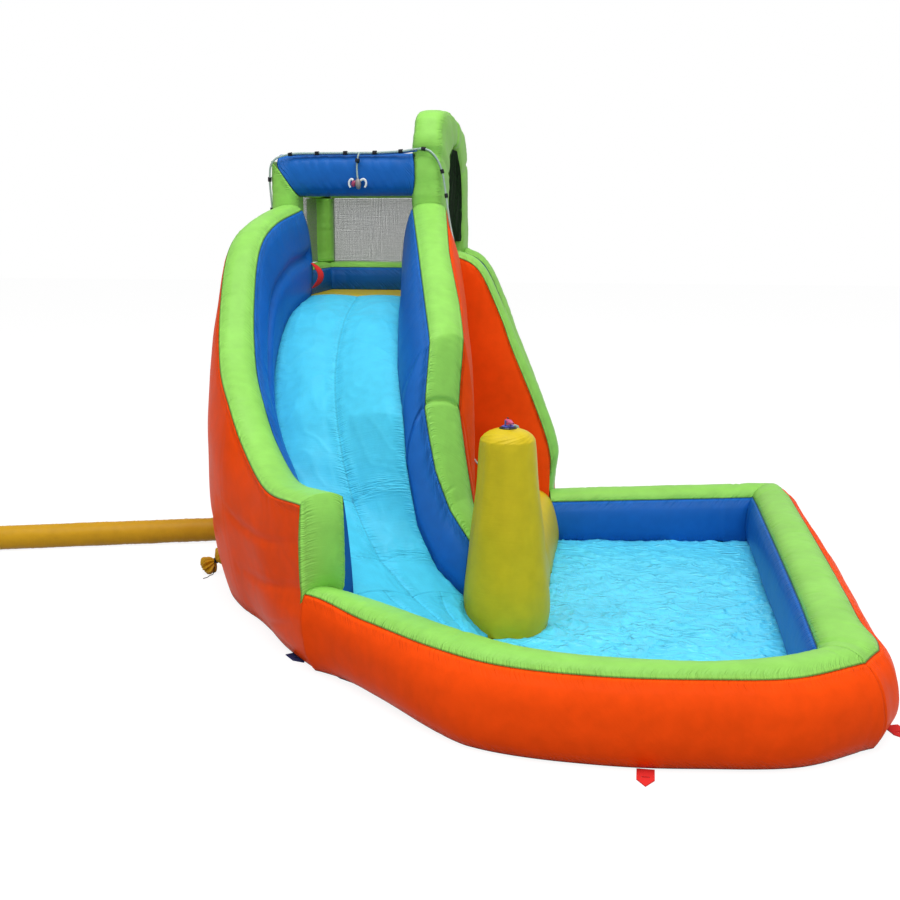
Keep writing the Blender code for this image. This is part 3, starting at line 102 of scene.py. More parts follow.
# Slide walls: outer seam x, y, inner seam x, y, seam height, bed height, lean of the inner face
DECK = 1.48
SLIDE_LEFT_KNOTS = [
    (-0.84, 0.965, -0.67, 0.965, 2.00, DECK, 0.04), (-0.86, 0.49, -0.69, 0.49, 1.91, 1.40, 0.08),
    (-0.855, 0.16, -0.68, 0.18, 1.77, 1.24, 0.09), (-0.81, -0.11, -0.64, -0.05, 1.48, 1.06, 0.09),
    (-0.72, -0.38, -0.56, -0.28, 1.21, 0.90, 0.09), (-0.59, -0.62, -0.45, -0.50, 1.05, 0.76, 0.09),
    (-0.46, -0.79, -0.33, -0.66, 0.87, 0.62, 0.08), (-0.25, -1.08, -0.12, -0.94, 0.75, 0.45, 0.06),
    (0.00, -1.36, 0.145, -1.19, 0.76, 0.30, 0.03),
]
SLIDE_RIGHT_KNOTS = [
    (0.215, 0.965, 0.01, 0.965, 2.01, DECK, 0.05), (0.316, 0.49, 0.144, 0.46, 1.765, 1.37, 0.10),
    (0.378, 0.29, 0.208, 0.225, 1.63, 1.275, 0.125), (0.44, 0.09, 0.272, -0.01, 1.50, 1.18, 0.15),
    (0.50, -0.16, 0.35, -0.31, 1.35, 0.98, 0.16), (0.49, -0.24, 0.345, -0.42, 1.03, 0.76, 0.12),
    (0.54, -0.30, 0.41, -0.49, 0.74, 0.48, 0.12), (0.58, -0.34, 0.49, -0.53, 0.55, 0.27, 0.10),
    (0.64, -0.46, 0.605, -0.585, 0.40, 0.14, 0.06),
]
SLIDE_TOE = 0.02
SLIDE_LEFT_BULGES = (0.075, 0.03, 0.035)
SLIDE_RIGHT_BULGES = (0.07, 0.03, 0.035)
RUNOUT_KNOTS = [(0.45, -1.275, 0.60, -0.78, 0.20, 0.10), (0.80, -1.53, 0.70, -0.88, 0.055, 0.03)]

# Tower
TOWER_LEFT, TOWER_RIGHT, TOWER_FRONT, TOWER_BACK = -0.86, 0.19, 0.97, 2.07
PARAPET_SEAM, PARAPET_SIDE, PARAPET_BACK, PARAPET_LEAN = 1.63, 0.17, 0.39, 0.03
PARAPET_BULGES = (0.05, 0.03, 0.01)
POST, POST_DEPTH = 0.17, 0.20
POSTS_LEFT = TOWER_LEFT - 0.015
BEAM_BOTTOM, BEAM_TOP = 2.08, 2.33
BACK_POST_FRONT = 1.70
POST_FOOT = 1.6606
ARCH_CENTRE, ARCH_HALF = 0.09, 0.10
ARCH_KNOTS = [
    (0.97, 2.10, 1.30, 2.06), (1.01, 2.46, 1.35, 2.26), (1.16, 2.58, 1.43, 2.35),
    (1.53, 2.585, 1.54, 2.38), (1.88, 2.51, 1.66, 2.34), (2.05, 2.32, 1.76, 2.20),
    (2.08, 2.05, 1.79, 2.00),
]

# Entrance net: height, front y, back y
FLAP_X = 0.1747
FLAP_OUTLINE = [
    (2.371, 1.45, 1.62), (2.32, 1.37, 1.70), (2.22, 1.315, 1.77), (2.05, 1.285, 1.795),
    (1.92, 1.28, 1.80), (1.80, 1.28, 1.80),
]

# Climbing ramp: x, rail seam height, bed height
RAIL_KNOTS = [
    (0.196, 1.72, 1.48), (0.30, 1.715, 1.46), (0.417, 1.63, 1.36), (0.54, 1.37, 1.11),
    (0.614, 1.17, 0.92), (0.748, 0.85, 0.60), (0.84, 0.59, 0.34), (0.868, 0.37, 0.21),
    (0.885, 0.17, 0.09),
]
RAMP_TURN, RAMP_TURN_START = 0.075, 0.015
RAMP_FOOT = (0.93, 0.03)
RAIL_WIDTH, RAIL_FRONT, RAIL_BACK, RAIL_LEAN = 0.18, 1.01, 1.98, 0.03
RAIL_BULGES = (0.035, 0.03, 0.015)
LOOP_COUNT, LOOP_BAND, LOOP_RISE = 4, 0.05, 0.07

# Cannon column and cannon
COLUMN = (0.785, -0.63)
COLUMN_PROFILE = [
    (0.195, 0.004), (0.209, 0.10), (0.204, 0.23), (0.18, 0.43), (0.147, 0.73), (0.135, 0.902),
    (0.126, 0.938), (0.104, 0.960), (0.075, 0.974), (0.042, 0.982),
]

# Sprinkler hose
HOSE_RADIUS = 0.006
HOSE_ROUTE = [
    (-0.945, 1.32, 1.16), (-0.945, 1.30, 1.40), (-0.925, 1.20, 1.62), (-0.888, 1.06, 1.80),
    (-0.876, 1.02, 2.00), (-0.876, 0.99, 2.18), (-0.842, 0.958, 2.285), (-0.74, 0.978, 2.327),
    (-0.575, 0.9887, 2.3322), (-0.40, 0.9887, 2.3322), (-0.22, 0.9887, 2.3322), (-0.06, 0.980, 2.338),
    (0.08, 0.968, 2.350), (0.148, 0.962, 2.310), (0.190, 0.972, 2.22), (0.212, 0.985, 2.08),
    (0.238, 0.955, 1.93), (0.290, 0.88, 1.72), (0.318, 0.87, 1.40), (0.335, 0.865, 0.95),
    (0.36, 0.84, 0.62), (0.52, 0.75, 0.42), (0.70, 0.62, 0.312), (0.76, 0.45, 0.285), (0.79, 0.10, 0.285),
    (0.84, -0.24, 0.286), (0.852, -0.385, 0.31), (0.838, -0.437, 0.40), (0.833, -0.457, 0.53),
    (0.827, -0.477, 0.74), (0.823, -0.490, 0.90), (0.819, -0.504, 0.962), (0.809, -0.543, 0.980),
    (0.7968, -0.5868, 0.9905),
]

DUCT_START, DUCT_END, DUCT_RADIUS = (-0.9053, 0.7014), (-2.44, 0.19), 0.072
SLEEVE = (-0.8737, -0.02, 0.105)
SLEEVE_DROOP, SLEEVE_TURN = math.radians(124), math.radians(12)

BASE = 0.0043
SWELL_POWER = 2.6
MERGE = 0.00001
# Rows of points over the outer, top and inner panel of each kind of wall, and along the slide and the hose
POOL_ROWS, SLIDE_ROWS, RAIL_ROWS, PARAPET_ROWS = (18, 12, 16), (60, 14, 30), (50, 10, 12), (60, 12, 8)
SLIDE_STEPS, HOSE_STEPS = 28, 12
# How thick the drawn cloth of nets and webbing is, and how far small plastic edges are rounded
NET_THICK, STRAP_THICK, LOOP_THICK, HANDLE_THICK, TAPE_THICK = 0.001, 0.0018, 0.0025, 0.0026, 0.0012
PLASTIC_EDGE, WEBBING_EDGE = 0.0006, 0.0008
ABS_ROUGHNESS = {"black": 0.4, "purple": 0.35}
STRAP_RADIUS, STRAP_HALF = 0.0098, 0.0125

# Creases: share of the wall's run, depth, half width. Low on the front wall the photograph shows a mark and a
# fold, and there are folds at its right end. What the numbers of a lobe and of a fold mean, sewn() says
POOL_CREASES = {
    "front": [(0.33, 0.003, 0.018), (0.975, 0.006, 0.008)],
    "right": [(0.03, 0.008, 0.02), (0.955, 0.006, 0.02)],
    "back": [(0.14, 0.007, 0.015), (0.17, 0.005, 0.012)],
}
SLIDE_CREASES = [(0.52, 0.004, 0.014), (0.66, 0.004, 0.014)]
SLIDE_LOBES = [(0.50, 0.034, 0.032, -0.1, 0.66)]
SLIDE_FOLDS = [
    ((0.62, 0.52), (0.99, 0.78), 0.011, 0.035), ((0.70, 0.30), (1.0, 0.52), 0.012, 0.035),
    ((0.80, 0.10), (0.98, 0.30), 0.010, 0.03), ((0.30, 0.25), (0.62, 0.36), 0.006, 0.035),
]

# The front wall's slim start: share of the run, shift of the seam, rise of the seam, extra swell
SLIM_RUN, SLIM_SHIFT, SLIM_RISE, SLIM_SWELL = 0.17, 0.045, 0.042, 0.022
# The right wall is drawn in by so much from one y on over a run, and rounded out about the front corner
DRAW_IN, DRAW_FROM, DRAW_RUN = 0.028, -0.9, 2.1
ROUND_OUT, ROUND_Y, ROUND_HALF = 0.03, -1.43, 0.15
# The back wall loses this share of its height over its run
SINK_SHARE, SINK_RUN = 0.17, 1.39
# The slide's left wall joins the pool's wall from this share on; its crest moves left, its foot moves in
LOW_END_FROM, LOW_END_LEFT, LOW_END_FOOT = 0.72, 0.015, 0.022
# The right wall's swell near the tower, and the front rail's broader top and drawn in low end
TOP_SWELL, RAIL_SWELL, RAIL_TUCK = 0.045, 0.04, 0.055
# How near the column the low wall ends, the floor's cloth and the runout's cloth
COLUMN_WALL, COLUMN_FLOOR, COLUMN_RUNOUT = 0.17, 0.186, 0.192
LIP = 0.02
# The runout's cloth is carried on where the column or the front wall is this near, to this far past the seam
COLUMN_NEAR, WALL_NEAR, WALL_PAST = 0.34, 0.12, 0.03
# Rows over which a channelled cloth takes on the channels of the one before
EASE_ROWS = 12
FLOOR_MIDDLE = (1.45, -0.9)
# Rows of the ramp's bed between which the footholds run
LOOP_FROM, LOOP_TO = 32, 113

# Net cords: half width, steps along one, slack and bend of a cord, and how far the two ways lie apart
NET_CORD_HALF, NET_STEPS, NET_SLACK, NET_BEND, NET_LAYER = 0.0014, 24, 0.006, 0.0016, 0.0004
# The entrance net's folds are full this far below its hem, and so deep
FLAP_HEM, FLAP_FOLD = 0.08, 0.011

# Where tape, straps and spray nozzle are on the hose's route, in knots; the tape's half width and place
TAPE_KNOTS, STRAP_KNOTS, NOZZLE_KNOT = (7, 14), (4, 5, *range(7, 13), 14, 15), 9.5
TAPE_HALF, TAPE_OFF = 0.009, 0.0107

# Spray nozzle, each from its own middle: offsets and radius
NOZZLE_CLIP = ((0.008, 0.035, 0.014), (0.011, 0.058, 0.014), (0.012, 0.060, 0.006))
NOZZLE_HEAD = (
    (0, 0, 0, 0.006), (0.002, 0.002, 0.012, 0.016), (0.004, 0.003, 0.034, 0.018),
    (0.006, 0.002, 0.056, 0.013), (0.007, 0, 0.062, 0.004),
)
NOZZLE_VALVE = ((0.012, 0.016, 0.007), (0.022, 0.022, 0.013), (0.026, 0.036, 0.013), (0.024, 0.048, 0.006))
NOZZLE_ARM = ((0.038, 0.004), (0.050, 0.016), (0.052, 0.036), (0.044, 0.052))
# Swivel nut: radius, place along the axis
NUT_PROFILE = (
    (0.0068, -0.015), (0.0135, -0.015), (0.0155, -0.013), (0.0155, 0.012), (0.0145, 0.015),
    (0.0068, 0.015),
)

# Deflation sleeve: radius, place along the axis; and its tie cord
SLEEVE_PROFILE = [
    (0.052, 0.0), (0.055, 0.014), (0.036, 0.036), (0.0125, 0.053), (0.0125, 0.060), (0.032, 0.076),
    (0.046, 0.098), (0.045, 0.120), (0.032, 0.138),
]
CORD_RADIUS, TIE_RADIUS = 0.0022, 0.0155
TIE_KNOT = (
    (0.001, -0.0045, 0.004), (-0.003, -0.0065, 0.001), (0.003, -0.0075, -0.003), (-0.001, -0.0055, -0.005),
)
TIE_HANG = (
    (0.001, 0.008), (0.003, 0.011), (0.005, 0.014), (0.009, 0.022), (0.018, 0.045), (0.020, 0.075),
    (0.034, 0.100),
)
TIE_START, TIE_TURNS, TIE_STEPS, TIE_HEIGHT, TIE_RISE = -90, 2, 60, 0.0535, 0.0055
CORD_LIES = 0.0028
GROUND_SHARE = 0.984

# The photograph's place and the lamps: place, target, size, watts
VIEW_PLACE, VIEW_TURN, VIEW_LENS, VIEW_SENSOR = (1.41, -5.96, 1.95), (90 - 11.31, 0, 9.6), 46.4, 36
LAMPS = {
    "key_softbox": ((1.0, -3.0, 11.0), (0.6, 0.0, 0.6), 11.0, 1080),
    "fill_softbox": ((6.0, -8.0, 6.0), (0.2, 0.0, 0.9), 6.0, 90),
}
STAGE_HALF = 30
WORLD_LIGHT, WORLD_SEEN = 0.57, 1.0


def linear(code):
    """Linear red, green, blue of an sRGB hex colour."""
    parts = [int(code[i : i + 2], 16) / 255 for i in (1, 3, 5)]
    return tuple(c / 12.92 if c <= 0.04045 else ((c + 0.055) / 1.055) ** 2.4 for c in parts)


def colour(name, code, about):
    return bpy.props.FloatVectorProperty(
        name=name, description=about, subtype="COLOR", size=3, min=0, max=1, default=linear(code)
    )


def length(name, metres, about):
    sizes = {"subtype": "DISTANCE", "unit": "LENGTH", "default": metres}
    return bpy.props.FloatProperty(name=name, description=about, **sizes)


class WaterParkFabric(bpy.types.PropertyGroup):
    """Colours of the coated fabrics and how the sewing draws them together."""

    green: colour("Green", "#8FD05C", "Tops of the walls, posts and arch")
    orange: colour("Orange", "#EE4B0E", "Outer sides of the walls")
    blue: colour("Blue", "#1460B3", "Inner sides of the walls and front beam")
    aqua: colour("Aqua", "#49C3E4", "Slide bed, runout and pool floor")
    yellow: colour("Yellow", "#D2B91F", "Column, deck, duct and low wall")
    amber: colour("Amber", "#C89A1A", "Inflation duct and deflation sleeve")
    navy: colour("Navy", "#1B2F66", "Ground sheet")
    seam_depth: length("Seam depth", 0.004, "How deep a stitched seam sinks between two panels")
    seam_width: length("Seam width", 0.010, "How far from a seam the panel sinks")
    hem: length("Hem", 0.012, "Seam allowance turned inward along every panel")
    gather_height: length("Gather height", 0.0055, "Height of the gathers that a seam pulls into a panel")
    gather_pitch: length("Gather pitch", 0.055, "Distance from one gather to the next along a seam")
    gather_reach: length("Gather reach", 0.055, "How far the gathers run into a panel")


class WaterParkFittings(bpy.types.PropertyGroup):
    """Colours of the webbing, hose and plastic fittings."""

    red: colour("Red", "#D51E17", "Grab handle and anchor tabs")
    black: colour("Black", "#15161A", "Straps, clips and cannon base")
    clear: colour("Clear hose", "#BFD6CE", "Sprinkler hose")
    purple: colour("Purple", "#4A4FB0", "Cannon ring")
    pink: colour("Pink", "#D85A8C", "Cannon barrel")
    white: colour("White", "#E4E6E6", "Arms of the spray head")
    grey: colour("Grey", "#8A8482", "Body of the spray head")
    dark_pink: colour("Dark pink", "#A3345C", "Valve of the spray head")
    net: colour("Net", "#86878C", "Tower nets")
    dark_net: colour("Dark net", "#3A6A36", "Entrance net")
    net_pitch: length("Net pitch", 0.0055, "Distance between the cords of the tower nets")


# Materials


def add_node(tree, kind, settings=(), **links):
    """A node of that kind with its settings, sockets by number or name, and links into it."""
    node = tree.nodes.new(kind)
    for key, value in dict(settings).items():
        if isinstance(value, bpy.types.NodeSocket):
            tree.links.new(value, node.inputs[key])
        elif isinstance(key, str) and hasattr(node, key):
            setattr(node, key, value)
        else:
            node.inputs[key].default_value = value
    for key, source in links.items():
        tree.links.new(source, node.inputs[key.replace("_", " ")])
    return node


def noise_over(tree, place, scale, detail, **more):
    """The value of a noise texture over coordinates."""
    settings = {"Scale": scale, "Detail": detail, **more}
    return add_node(tree, "ShaderNodeTexNoise", settings, Vector=place).outputs["Fac"]


def stretched(tree, place, scale, turn=0.0):
    """Coordinates scaled along each axis and turned about the upright one."""
    settings = {"Scale": scale, "Rotation": (0, 0, turn)}
    return add_node(tree, "ShaderNodeMapping", settings, Vector=place).outputs["Vector"]


def ranged(tree, value, low, high, to_low=0.0, to_high=1.0, **more):
    """A value carried from one range to another."""
    settings = {"From Min": low, "From Max": high, "To Min": to_low, "To Max": to_high, **more}
    return add_node(tree, "ShaderNodeMapRange", settings, Value=value).outputs["Result"]


def reckoned(tree, operation, first, second):
    """Two values taken together by an operation."""
    return add_node(tree, "ShaderNodeMath", {"operation": operation, 0: first, 1: second}).outputs[0]


def mixed(tree, factor, low, high, **more):
    """A mix of two colours or links by a factor."""
    settings = {"data_type": "RGBA", **more, 0: factor, 6: low, 7: high}
    return add_node(tree, "ShaderNodeMix", settings).outputs[2]


def toned(tree, factor, shade, low, high=1.0):
    """The shade, darker and paler by a factor's value."""
    ends = [(*[min(c * tone, 1) for c in shade], 1) for tone in (low, high)]
    return mixed(tree, factor, *ends)


def bumped(tree, height, strength, distance, **normal):
    """Relief of so many metres by a height, on top of another normal if there is one."""
    settings = {"Strength": strength, "Distance": distance}
    return add_node(tree, "ShaderNodeBump", settings, Height=height, **normal).outputs[0]


def shaded(tree, **inputs):
    """Links or sets the inputs of the tree's Principled shader."""
    shader = tree.nodes["Principled BSDF"]
    for key, value in inputs.items():
        socket = shader.inputs[key.replace("_", " ")]
        if isinstance(value, bpy.types.NodeSocket):
            tree.links.new(value, socket)
        else:
            socket.default_value = value
    return shader


def object_place(tree):
    return add_node(tree, "ShaderNodeTexCoord").outputs["Object"]


def cloth_place(tree):
    return add_node(tree, "ShaderNodeUVMap", {"uv_map": "cloth"}).outputs["UV"]


def material(recipe):
    """Turns a recipe of nodes into a function that makes the material of a name, or finds it again."""

    def made_of(name, *shade, **finish):
        made = bpy.data.materials.get(name)
        if made is None:
            made = bpy.data.materials.new(name)
            made.use_nodes = True
            recipe(made.node_tree, *shade, **finish)
        return made

    return made_of


@material
def coated_fabric(tree, shade, crinkle=0.12, roughness=0.40, gloss=0.16, needle=0.42, laid=False):
    """Woven polyester with a vinyl coat: satin, with fine gathers along the stitching."""
    if laid:
        shade = tuple(min(c * 1.22 + 0.02, 1) for c in shade)
    place, cloth = object_place(tree), cloth_place(tree)
    # mottling of the coat, patches about 60 mm and 350 mm across
    fine = noise_over(tree, place, 16, 4)
    both = reckoned(tree, "ADD", fine, noise_over(tree, place, 2.8, 2))
    coat = toned(tree, ranged(tree, both, 0.7, 1.3), shade, 0.9, 1.05)
    # the needle line at each seam is dark, by one minus the needle, and beside it the hem's colour is painted
    # lighter as a highlight
    seam = add_node(tree, "ShaderNodeAttribute", {"attribute_name": "seam"}).outputs["Fac"]
    hem = add_node(tree, "ShaderNodeValToRGB", {0: seam})
    dark = 1 - needle
    needle_and_painted_highlight = (needle, 1 - dark * 0.7, 1 + dark / 2, 1 + dark / 3, 1.0)
    for along, grey in zip((0.0, 0.0035, 0.006, 0.013, 0.02), needle_and_painted_highlight):
        stop = hem.color_ramp.elements.new(along) if along else hem.color_ramp.elements[0]
        stop.position, stop.color = along, (grey, grey, grey, 1)
    hem.color_ramp.elements.remove(hem.color_ramp.elements[-1])
    skin = mixed(tree, 1.0, coat, hem.outputs["Color"], blend_type="MULTIPLY")
    # threads lie 0.6 mm apart on the real cloth; drawn at 3 mm so that they show close up
    waves = [{"bands_direction": way, "Scale": 105} for way in "XY"]
    warp, weft = (add_node(tree, "ShaderNodeTexWave", wave, Vector=cloth).outputs["Fac"] for wave in waves)
    woven = bumped(tree, reckoned(tree, "MAXIMUM", warp, weft), 0.12, 0.0004)
    # gathers: 8 mm apart along the seam, 60 mm long across it, dying out into the panel
    pleats = noise_over(tree, stretched(tree, cloth, (120, 10, 1)), 1, 1.5)
    fade = ranged(tree, seam, 0.002, 0.07, 1, 0.06, interpolation_type="SMOOTHSTEP")
    relief = bumped(tree, reckoned(tree, "MULTIPLY", pleats, fade), 1.0, 0.011, Normal=woven)
    if laid:
        # the floor cloth lies loose and crumpled: sharp ridges 30 to 60 mm apart
        turned = stretched(tree, place, (11, 19, 11), 0.6)
        ridges = noise_over(tree, turned, 1, 4, noise_type="RIDGED_MULTIFRACTAL", Distortion=0.9)
        relief = bumped(tree, ridges, 1.0, 0.022, Normal=relief)
    else:
        # creases of the folded cloth, 20 to 80 mm apart
        relief = bumped(tree, noise_over(tree, place, 22, 3, Distortion=1.2), crinkle, 0.005, Normal=relief)
    rough = ranged(tree, fine, 0, 1, roughness - 0.05, roughness + 0.07)
    shaded(tree, Base_Color=skin, Roughness=rough, Normal=relief, IOR=1.5, Specular_IOR_Level=gloss)


@material
def webbing(tree, shade):
    """Woven polypropylene webbing: matt, with ribs across the strap 2 mm apart."""
    ribs = add_node(tree, "ShaderNodeTexWave", {"Scale": 160}, Vector=cloth_place(tree)).outputs["Fac"]
    relief = bumped(tree, ribs, 0.5, 0.0006)
    shaded(tree, Base_Color=toned(tree, ribs, shade, 0.75), Normal=relief, Roughness=0.75)


@material
def moulded_abs(tree, shade, roughness):
    """Injection-moulded ABS: an even colour with a slight orange-peel gloss."""
    peel = noise_over(tree, object_place(tree), 900, 1)
    relief = bumped(tree, peel, 0.15, 0.0002)
    shaded(tree, Base_Color=toned(tree, peel, shade, 0.92), Normal=relief, Roughness=roughness, IOR=1.54)


@material
def clear_pvc(tree, shade):
    """Extruded clear PVC hose, a little milky, that lets light through its wall."""
    skin = toned(tree, noise_over(tree, object_place(tree), 60, 2), shade, 0.85)
    shaded(tree, Base_Color=skin, Roughness=0.2, IOR=1.52, Transmission_Weight=0.35)


@material
def knotless_net(tree, shade, pitch=None):
    """Knotless polyester netting: matt twisted cords; with a pitch, a close net whose holes are painted near
    black as shade, with painted light along its folds.
    """
    skin = toned(tree, noise_over(tree, object_place(tree), 150, 3), shade, 0.35, 1.65)
    if pitch:
        cloth = cloth_place(tree)
        sizes = {"Scale": 1, "Brick Width": pitch, "Row Height": pitch * 0.7, "Mortar Size": pitch * 0.025}
        # the holes are painted near black, as the shade seen through them
        holes = {"Color1": (0.004, 0.005, 0.004, 1), "Color2": (0.002, 0.003, 0.002, 1)}
        mesh = add_node(tree, "ShaderNodeTexBrick", {**sizes, **holes}, Vector=cloth, Mortar=skin)
        # painted light along the folds: thin lines in the cord colour where the crumpled net's folds catch
        # the light
        folds = {"noise_type": "RIDGED_MULTIFRACTAL", "Distortion": 1.5}
        painted_fold_light = noise_over(tree, stretched(tree, cloth, (12, 4, 1)), 1, 2, **folds)
        skin = mixed(tree, ranged(tree, painted_fold_light, 0.5, 0.75), mesh.outputs["Color"], skin)
        shaded(tree, Specular_IOR_Level=0.03)
    shaded(tree, Base_Color=skin, Roughness=0.8)


# Curves and grids of points


def smooth(knots, steps):
    """Points on a smooth curve through the knots, as an array."""
    run = np.array(knots, float)
    run = np.vstack([2 * run[0] - run[1], run, 2 * run[-1] - run[-2]])
    out = []
    for i in range(len(run) - 3):
        a, b, c, d = run[i : i + 4]
        for t in np.arange(steps) / steps:
            cube = (3 * (b - c) + d - a) * t**3
            out.append(0.5 * (2 * b + (c - a) * t + (2 * a - 5 * b + 4 * c - d) * t**2 + cube))
    return np.array([*out, run[-2]])


def kinked(knots, steps, share):
    """The smooth curve, drawn by so much towards the straight lines between its knots."""
    run = np.array(knots, float)
    t = np.linspace(0, len(run) - 1, (len(run) - 1) * steps + 1)
    straights = np.stack([np.interp(t, np.arange(len(run)), column) for column in run.T], 1)
    return smooth(knots, steps) * (1 - share) + straights * share


def straight(a, b, steps):
    """Points in line from a to b, both ends included."""
    return np.linspace(np.array(a, float), np.array(b, float), steps + 1)


def swell(share):
    """How far a panel under pressure bows out: 0 at its seams, 1 in the middle."""
    return 1 - np.abs(2 * share - 1) ** SWELL_POWER


def bell(off, half):
    """1 where the distance is 0, dying out beyond half."""
    return np.exp(-((off / half) ** 2))


def held(share):
    """The share, held between 0 and 1."""
    return np.clip(share, 0, 1)


def spread(count, start=0, end=1):
    """So many shares, evenly from start to end."""
    return np.linspace(start, end, count)


def unit(way):
    """The vector, or each of many, at a length of 1."""
    return way / np.linalg.norm(way, axis=-1, keepdims=True)


def noise_at(*axes):
    """Smooth noise at each place of arrays of one shape, or of arrays and numbers."""
    wide = np.broadcast_arrays(*axes)
    flat = np.stack([a.ravel() for a in wide], 1)
    return np.array([noise.noise(p) for p in flat.tolist()]).reshape(wide[0].shape)


def run_length(grid, axis):
    """Metres run along an axis of a grid of points, from its start."""
    steps = np.linalg.norm(np.diff(grid, axis=axis), axis=2)
    zero = np.zeros_like(np.take(steps, [0], axis=axis))
    return np.concatenate([zero, np.cumsum(steps, axis=axis)], axis=axis)


def faces_along(grid):
    """The direction across each point of a grid, as long as its cell is wide."""
    return np.cross(np.gradient(grid, axis=0), np.gradient(grid, axis=1))


def gathered(run, near, seed, fine_seed, side=0):
    """Height of the gathers that a seam draws up, from the metres along it and off it."""
    cut = bpy.context.scene.water_park_fabric
    fold = np.abs(noise_at(run / cut.gather_pitch, near / 0.25 + side, seed))
    fine = np.abs(noise_at(run / cut.gather_pitch * 2.3, near / 0.12, fine_seed))
    return (1.6 * fold + 0.7 * fine - 0.55) * cut.gather_height


def sewn(grid, centres, outward, seed, gathers=1.0, creases=(), lobes=(), folds=(), seams=(True, True)):
    """The panel sewn along its edges: it sinks at the seams, gathers beside them and creases across.

    Creases are shares of the run, depths and half widths in metres; lobes run along it, at a share of the
    panel's width, with a depth, a half width and the shares of the run where they start and end; folds go
    from one place to another, each a share of the run and of the width. Returns the points, and metres to
    a seam.
    """
    cut = bpy.context.scene.water_park_fabric
    normal = faces_along(grid)
    normal = normal / np.maximum(np.linalg.norm(normal, axis=2, keepdims=True), 1e-9)
    if np.sum(normal * outward) < 0:
        normal = -normal
    run, reach = run_length(grid, 0), run_length(grid, 1)
    total, girth = run[-1:, :], reach[:, -1:]
    back = girth - reach
    near = np.minimum(reach if seams[0] else reach + 1, back if seams[1] else back + 1)
    edge = np.minimum(reach, back)
    inward = unit(centres[:, None, :] - grid)
    where = noise_at(run / 0.3, reach / 0.4, seed + 3.3) * 0.8 + 0.9
    height = gathered(run, edge, seed, seed + 9.5, reach > back) * np.clip(where, 0.15, 2)
    height *= gathers * np.exp(-near / cut.gather_reach)
    height += 0.006 * noise_at(run / 0.34, reach / 0.24, seed + 6.1)
    for share, depth, half in creases:
        wave = noise_at(reach / 0.15, 0, share * 31) * 0.006
        height -= depth * bell(run - total * share + wave, half)
    for share, depth, half, first, last in lobes:
        along = run / total
        fade = held((along - first) / 0.06 + 0.5) * held((last - along) / 0.12)
        bend = 0.05 * noise_at(run / 0.4, 0, share * 13)
        height -= depth * fade * bell((reach / girth - share + bend) * girth, half)
    for start, end, depth, half in folds:
        size = np.array([total.mean(), girth.mean()])
        first, way = np.array(start) * size, (np.array(end) - np.array(start)) * size
        place = np.stack([run / total, reach / girth], 2) * size - first
        t = held(place @ way / (way @ way))
        off = np.linalg.norm(place - t[:, :, None] * way, axis=2)
        height -= depth * bell(off, half) * np.sin(math.pi * np.clip(t, 0.08, 0.92))
    settle = 1 - bell(near, 0.011)
    settle = settle * (1 - bell(np.minimum(run, total - run), 0.02))
    sink = cut.seam_depth * bell(near, cut.seam_width)
    points = grid + normal * (height * settle)[:, :, None] + inward * sink[:, :, None]
    return points, edge


def turned_in(points, centres, hem):
    """The grid with hems along its sides, its ends drawn shut towards the foot of the section's middle."""
    centre = centres[:, None, :]
    foot = centre * (1, 1, 0) + (0, 0, BASE)
    low, high = (line + unit(centre - line) * hem for line in (points[:, :1], points[:, -1:]))
    wide = np.concatenate([low, points, high], axis=1)
    first, last = (wide[end] + (foot[end] - wide[end]) * 0.98 for end in ([0], [-1]))
    return np.concatenate([first, wide, last], axis=0)


# Objects


def linked(name, data):
    """A new object of the scene."""
    obj = bpy.data.objects.new(name, data)
    bpy.context.scene.collection.objects.link(obj)
    return obj


def register_piece(obj, surface, slot, nodes=(), body=PARK):
    """Gives a piece its material, and lets it ride in place of its CAD nodes; the slot is not used."""
    obj.data.materials.clear()
    obj.data.materials.append(surface)
    if nodes:
        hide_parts(*nodes)
    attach(obj, body)
    return obj


def fabric_of(kind, slot=None, use="", **finish):
    """The material of a colour of fabric, and its record slot."""
    shade = getattr(bpy.context.scene.water_park_fabric, kind)
    finish.setdefault("gloss", 0.02 if kind == "orange" else 0.16)
    finish.setdefault("needle", 0.86 if kind == "aqua" else 0.42)
    return coated_fabric(f"vinyl_coated_polyester_{kind}{use}", shade, **finish), f"{slot or kind}_fabric"


def dressed(obj, kind, node, slot=None):
    """A piece in the fabric of a colour, in place of its CAD node."""
    return register_piece(obj, *fabric_of(kind, slot), [node])


def plastic(kind):
    """The ABS of a colour of the fittings."""
    shade = getattr(bpy.context.scene.water_park_fittings, kind)
    return moulded_abs(f"{kind}_abs", shade, ABS_ROUGHNESS.get(kind, 0.3))


def strap_of(kind):
    """The webbing of a colour of the fittings."""
    return webbing(f"{kind}_webbing", getattr(bpy.context.scene.water_park_fittings, kind))


def hose_pvc():
    return clear_pvc("clear_pvc_hose", bpy.context.scene.water_park_fittings.clear)


def mesh_piece(name, points, faces, cloth=None, seam=None):
    """A smooth mesh with its cloth coordinates in metres and its distance to a seam."""
    mesh = bpy.data.meshes.new(name)
    mesh.from_pydata([tuple(p) for p in points], [], faces)
    if cloth is not None:
        layer = mesh.uv_layers.new(name="cloth")
        corners = np.zeros(len(mesh.loops), np.int32)
        mesh.loops.foreach_get("vertex_index", corners)
        layer.data.foreach_set("uv", np.asarray(cloth, np.float32)[corners].ravel())
    if seam is not None:
        near = mesh.attributes.new("seam", "FLOAT", "POINT")
        near.data.foreach_set("value", np.asarray(seam, np.float32))
    mesh.shade_smooth()
    return linked(name, mesh)


def grid_faces(rows, columns, wrap=False):
    """Quads over a grid of points; with wrap, the last column joins the first."""
    faces = []
    for i in range(rows - 1):
        for j in range(columns if wrap else columns - 1):
            a, b = i * columns + j, i * columns + (j + 1) % columns
            faces.append((a, b, b + columns, a + columns))
    return faces


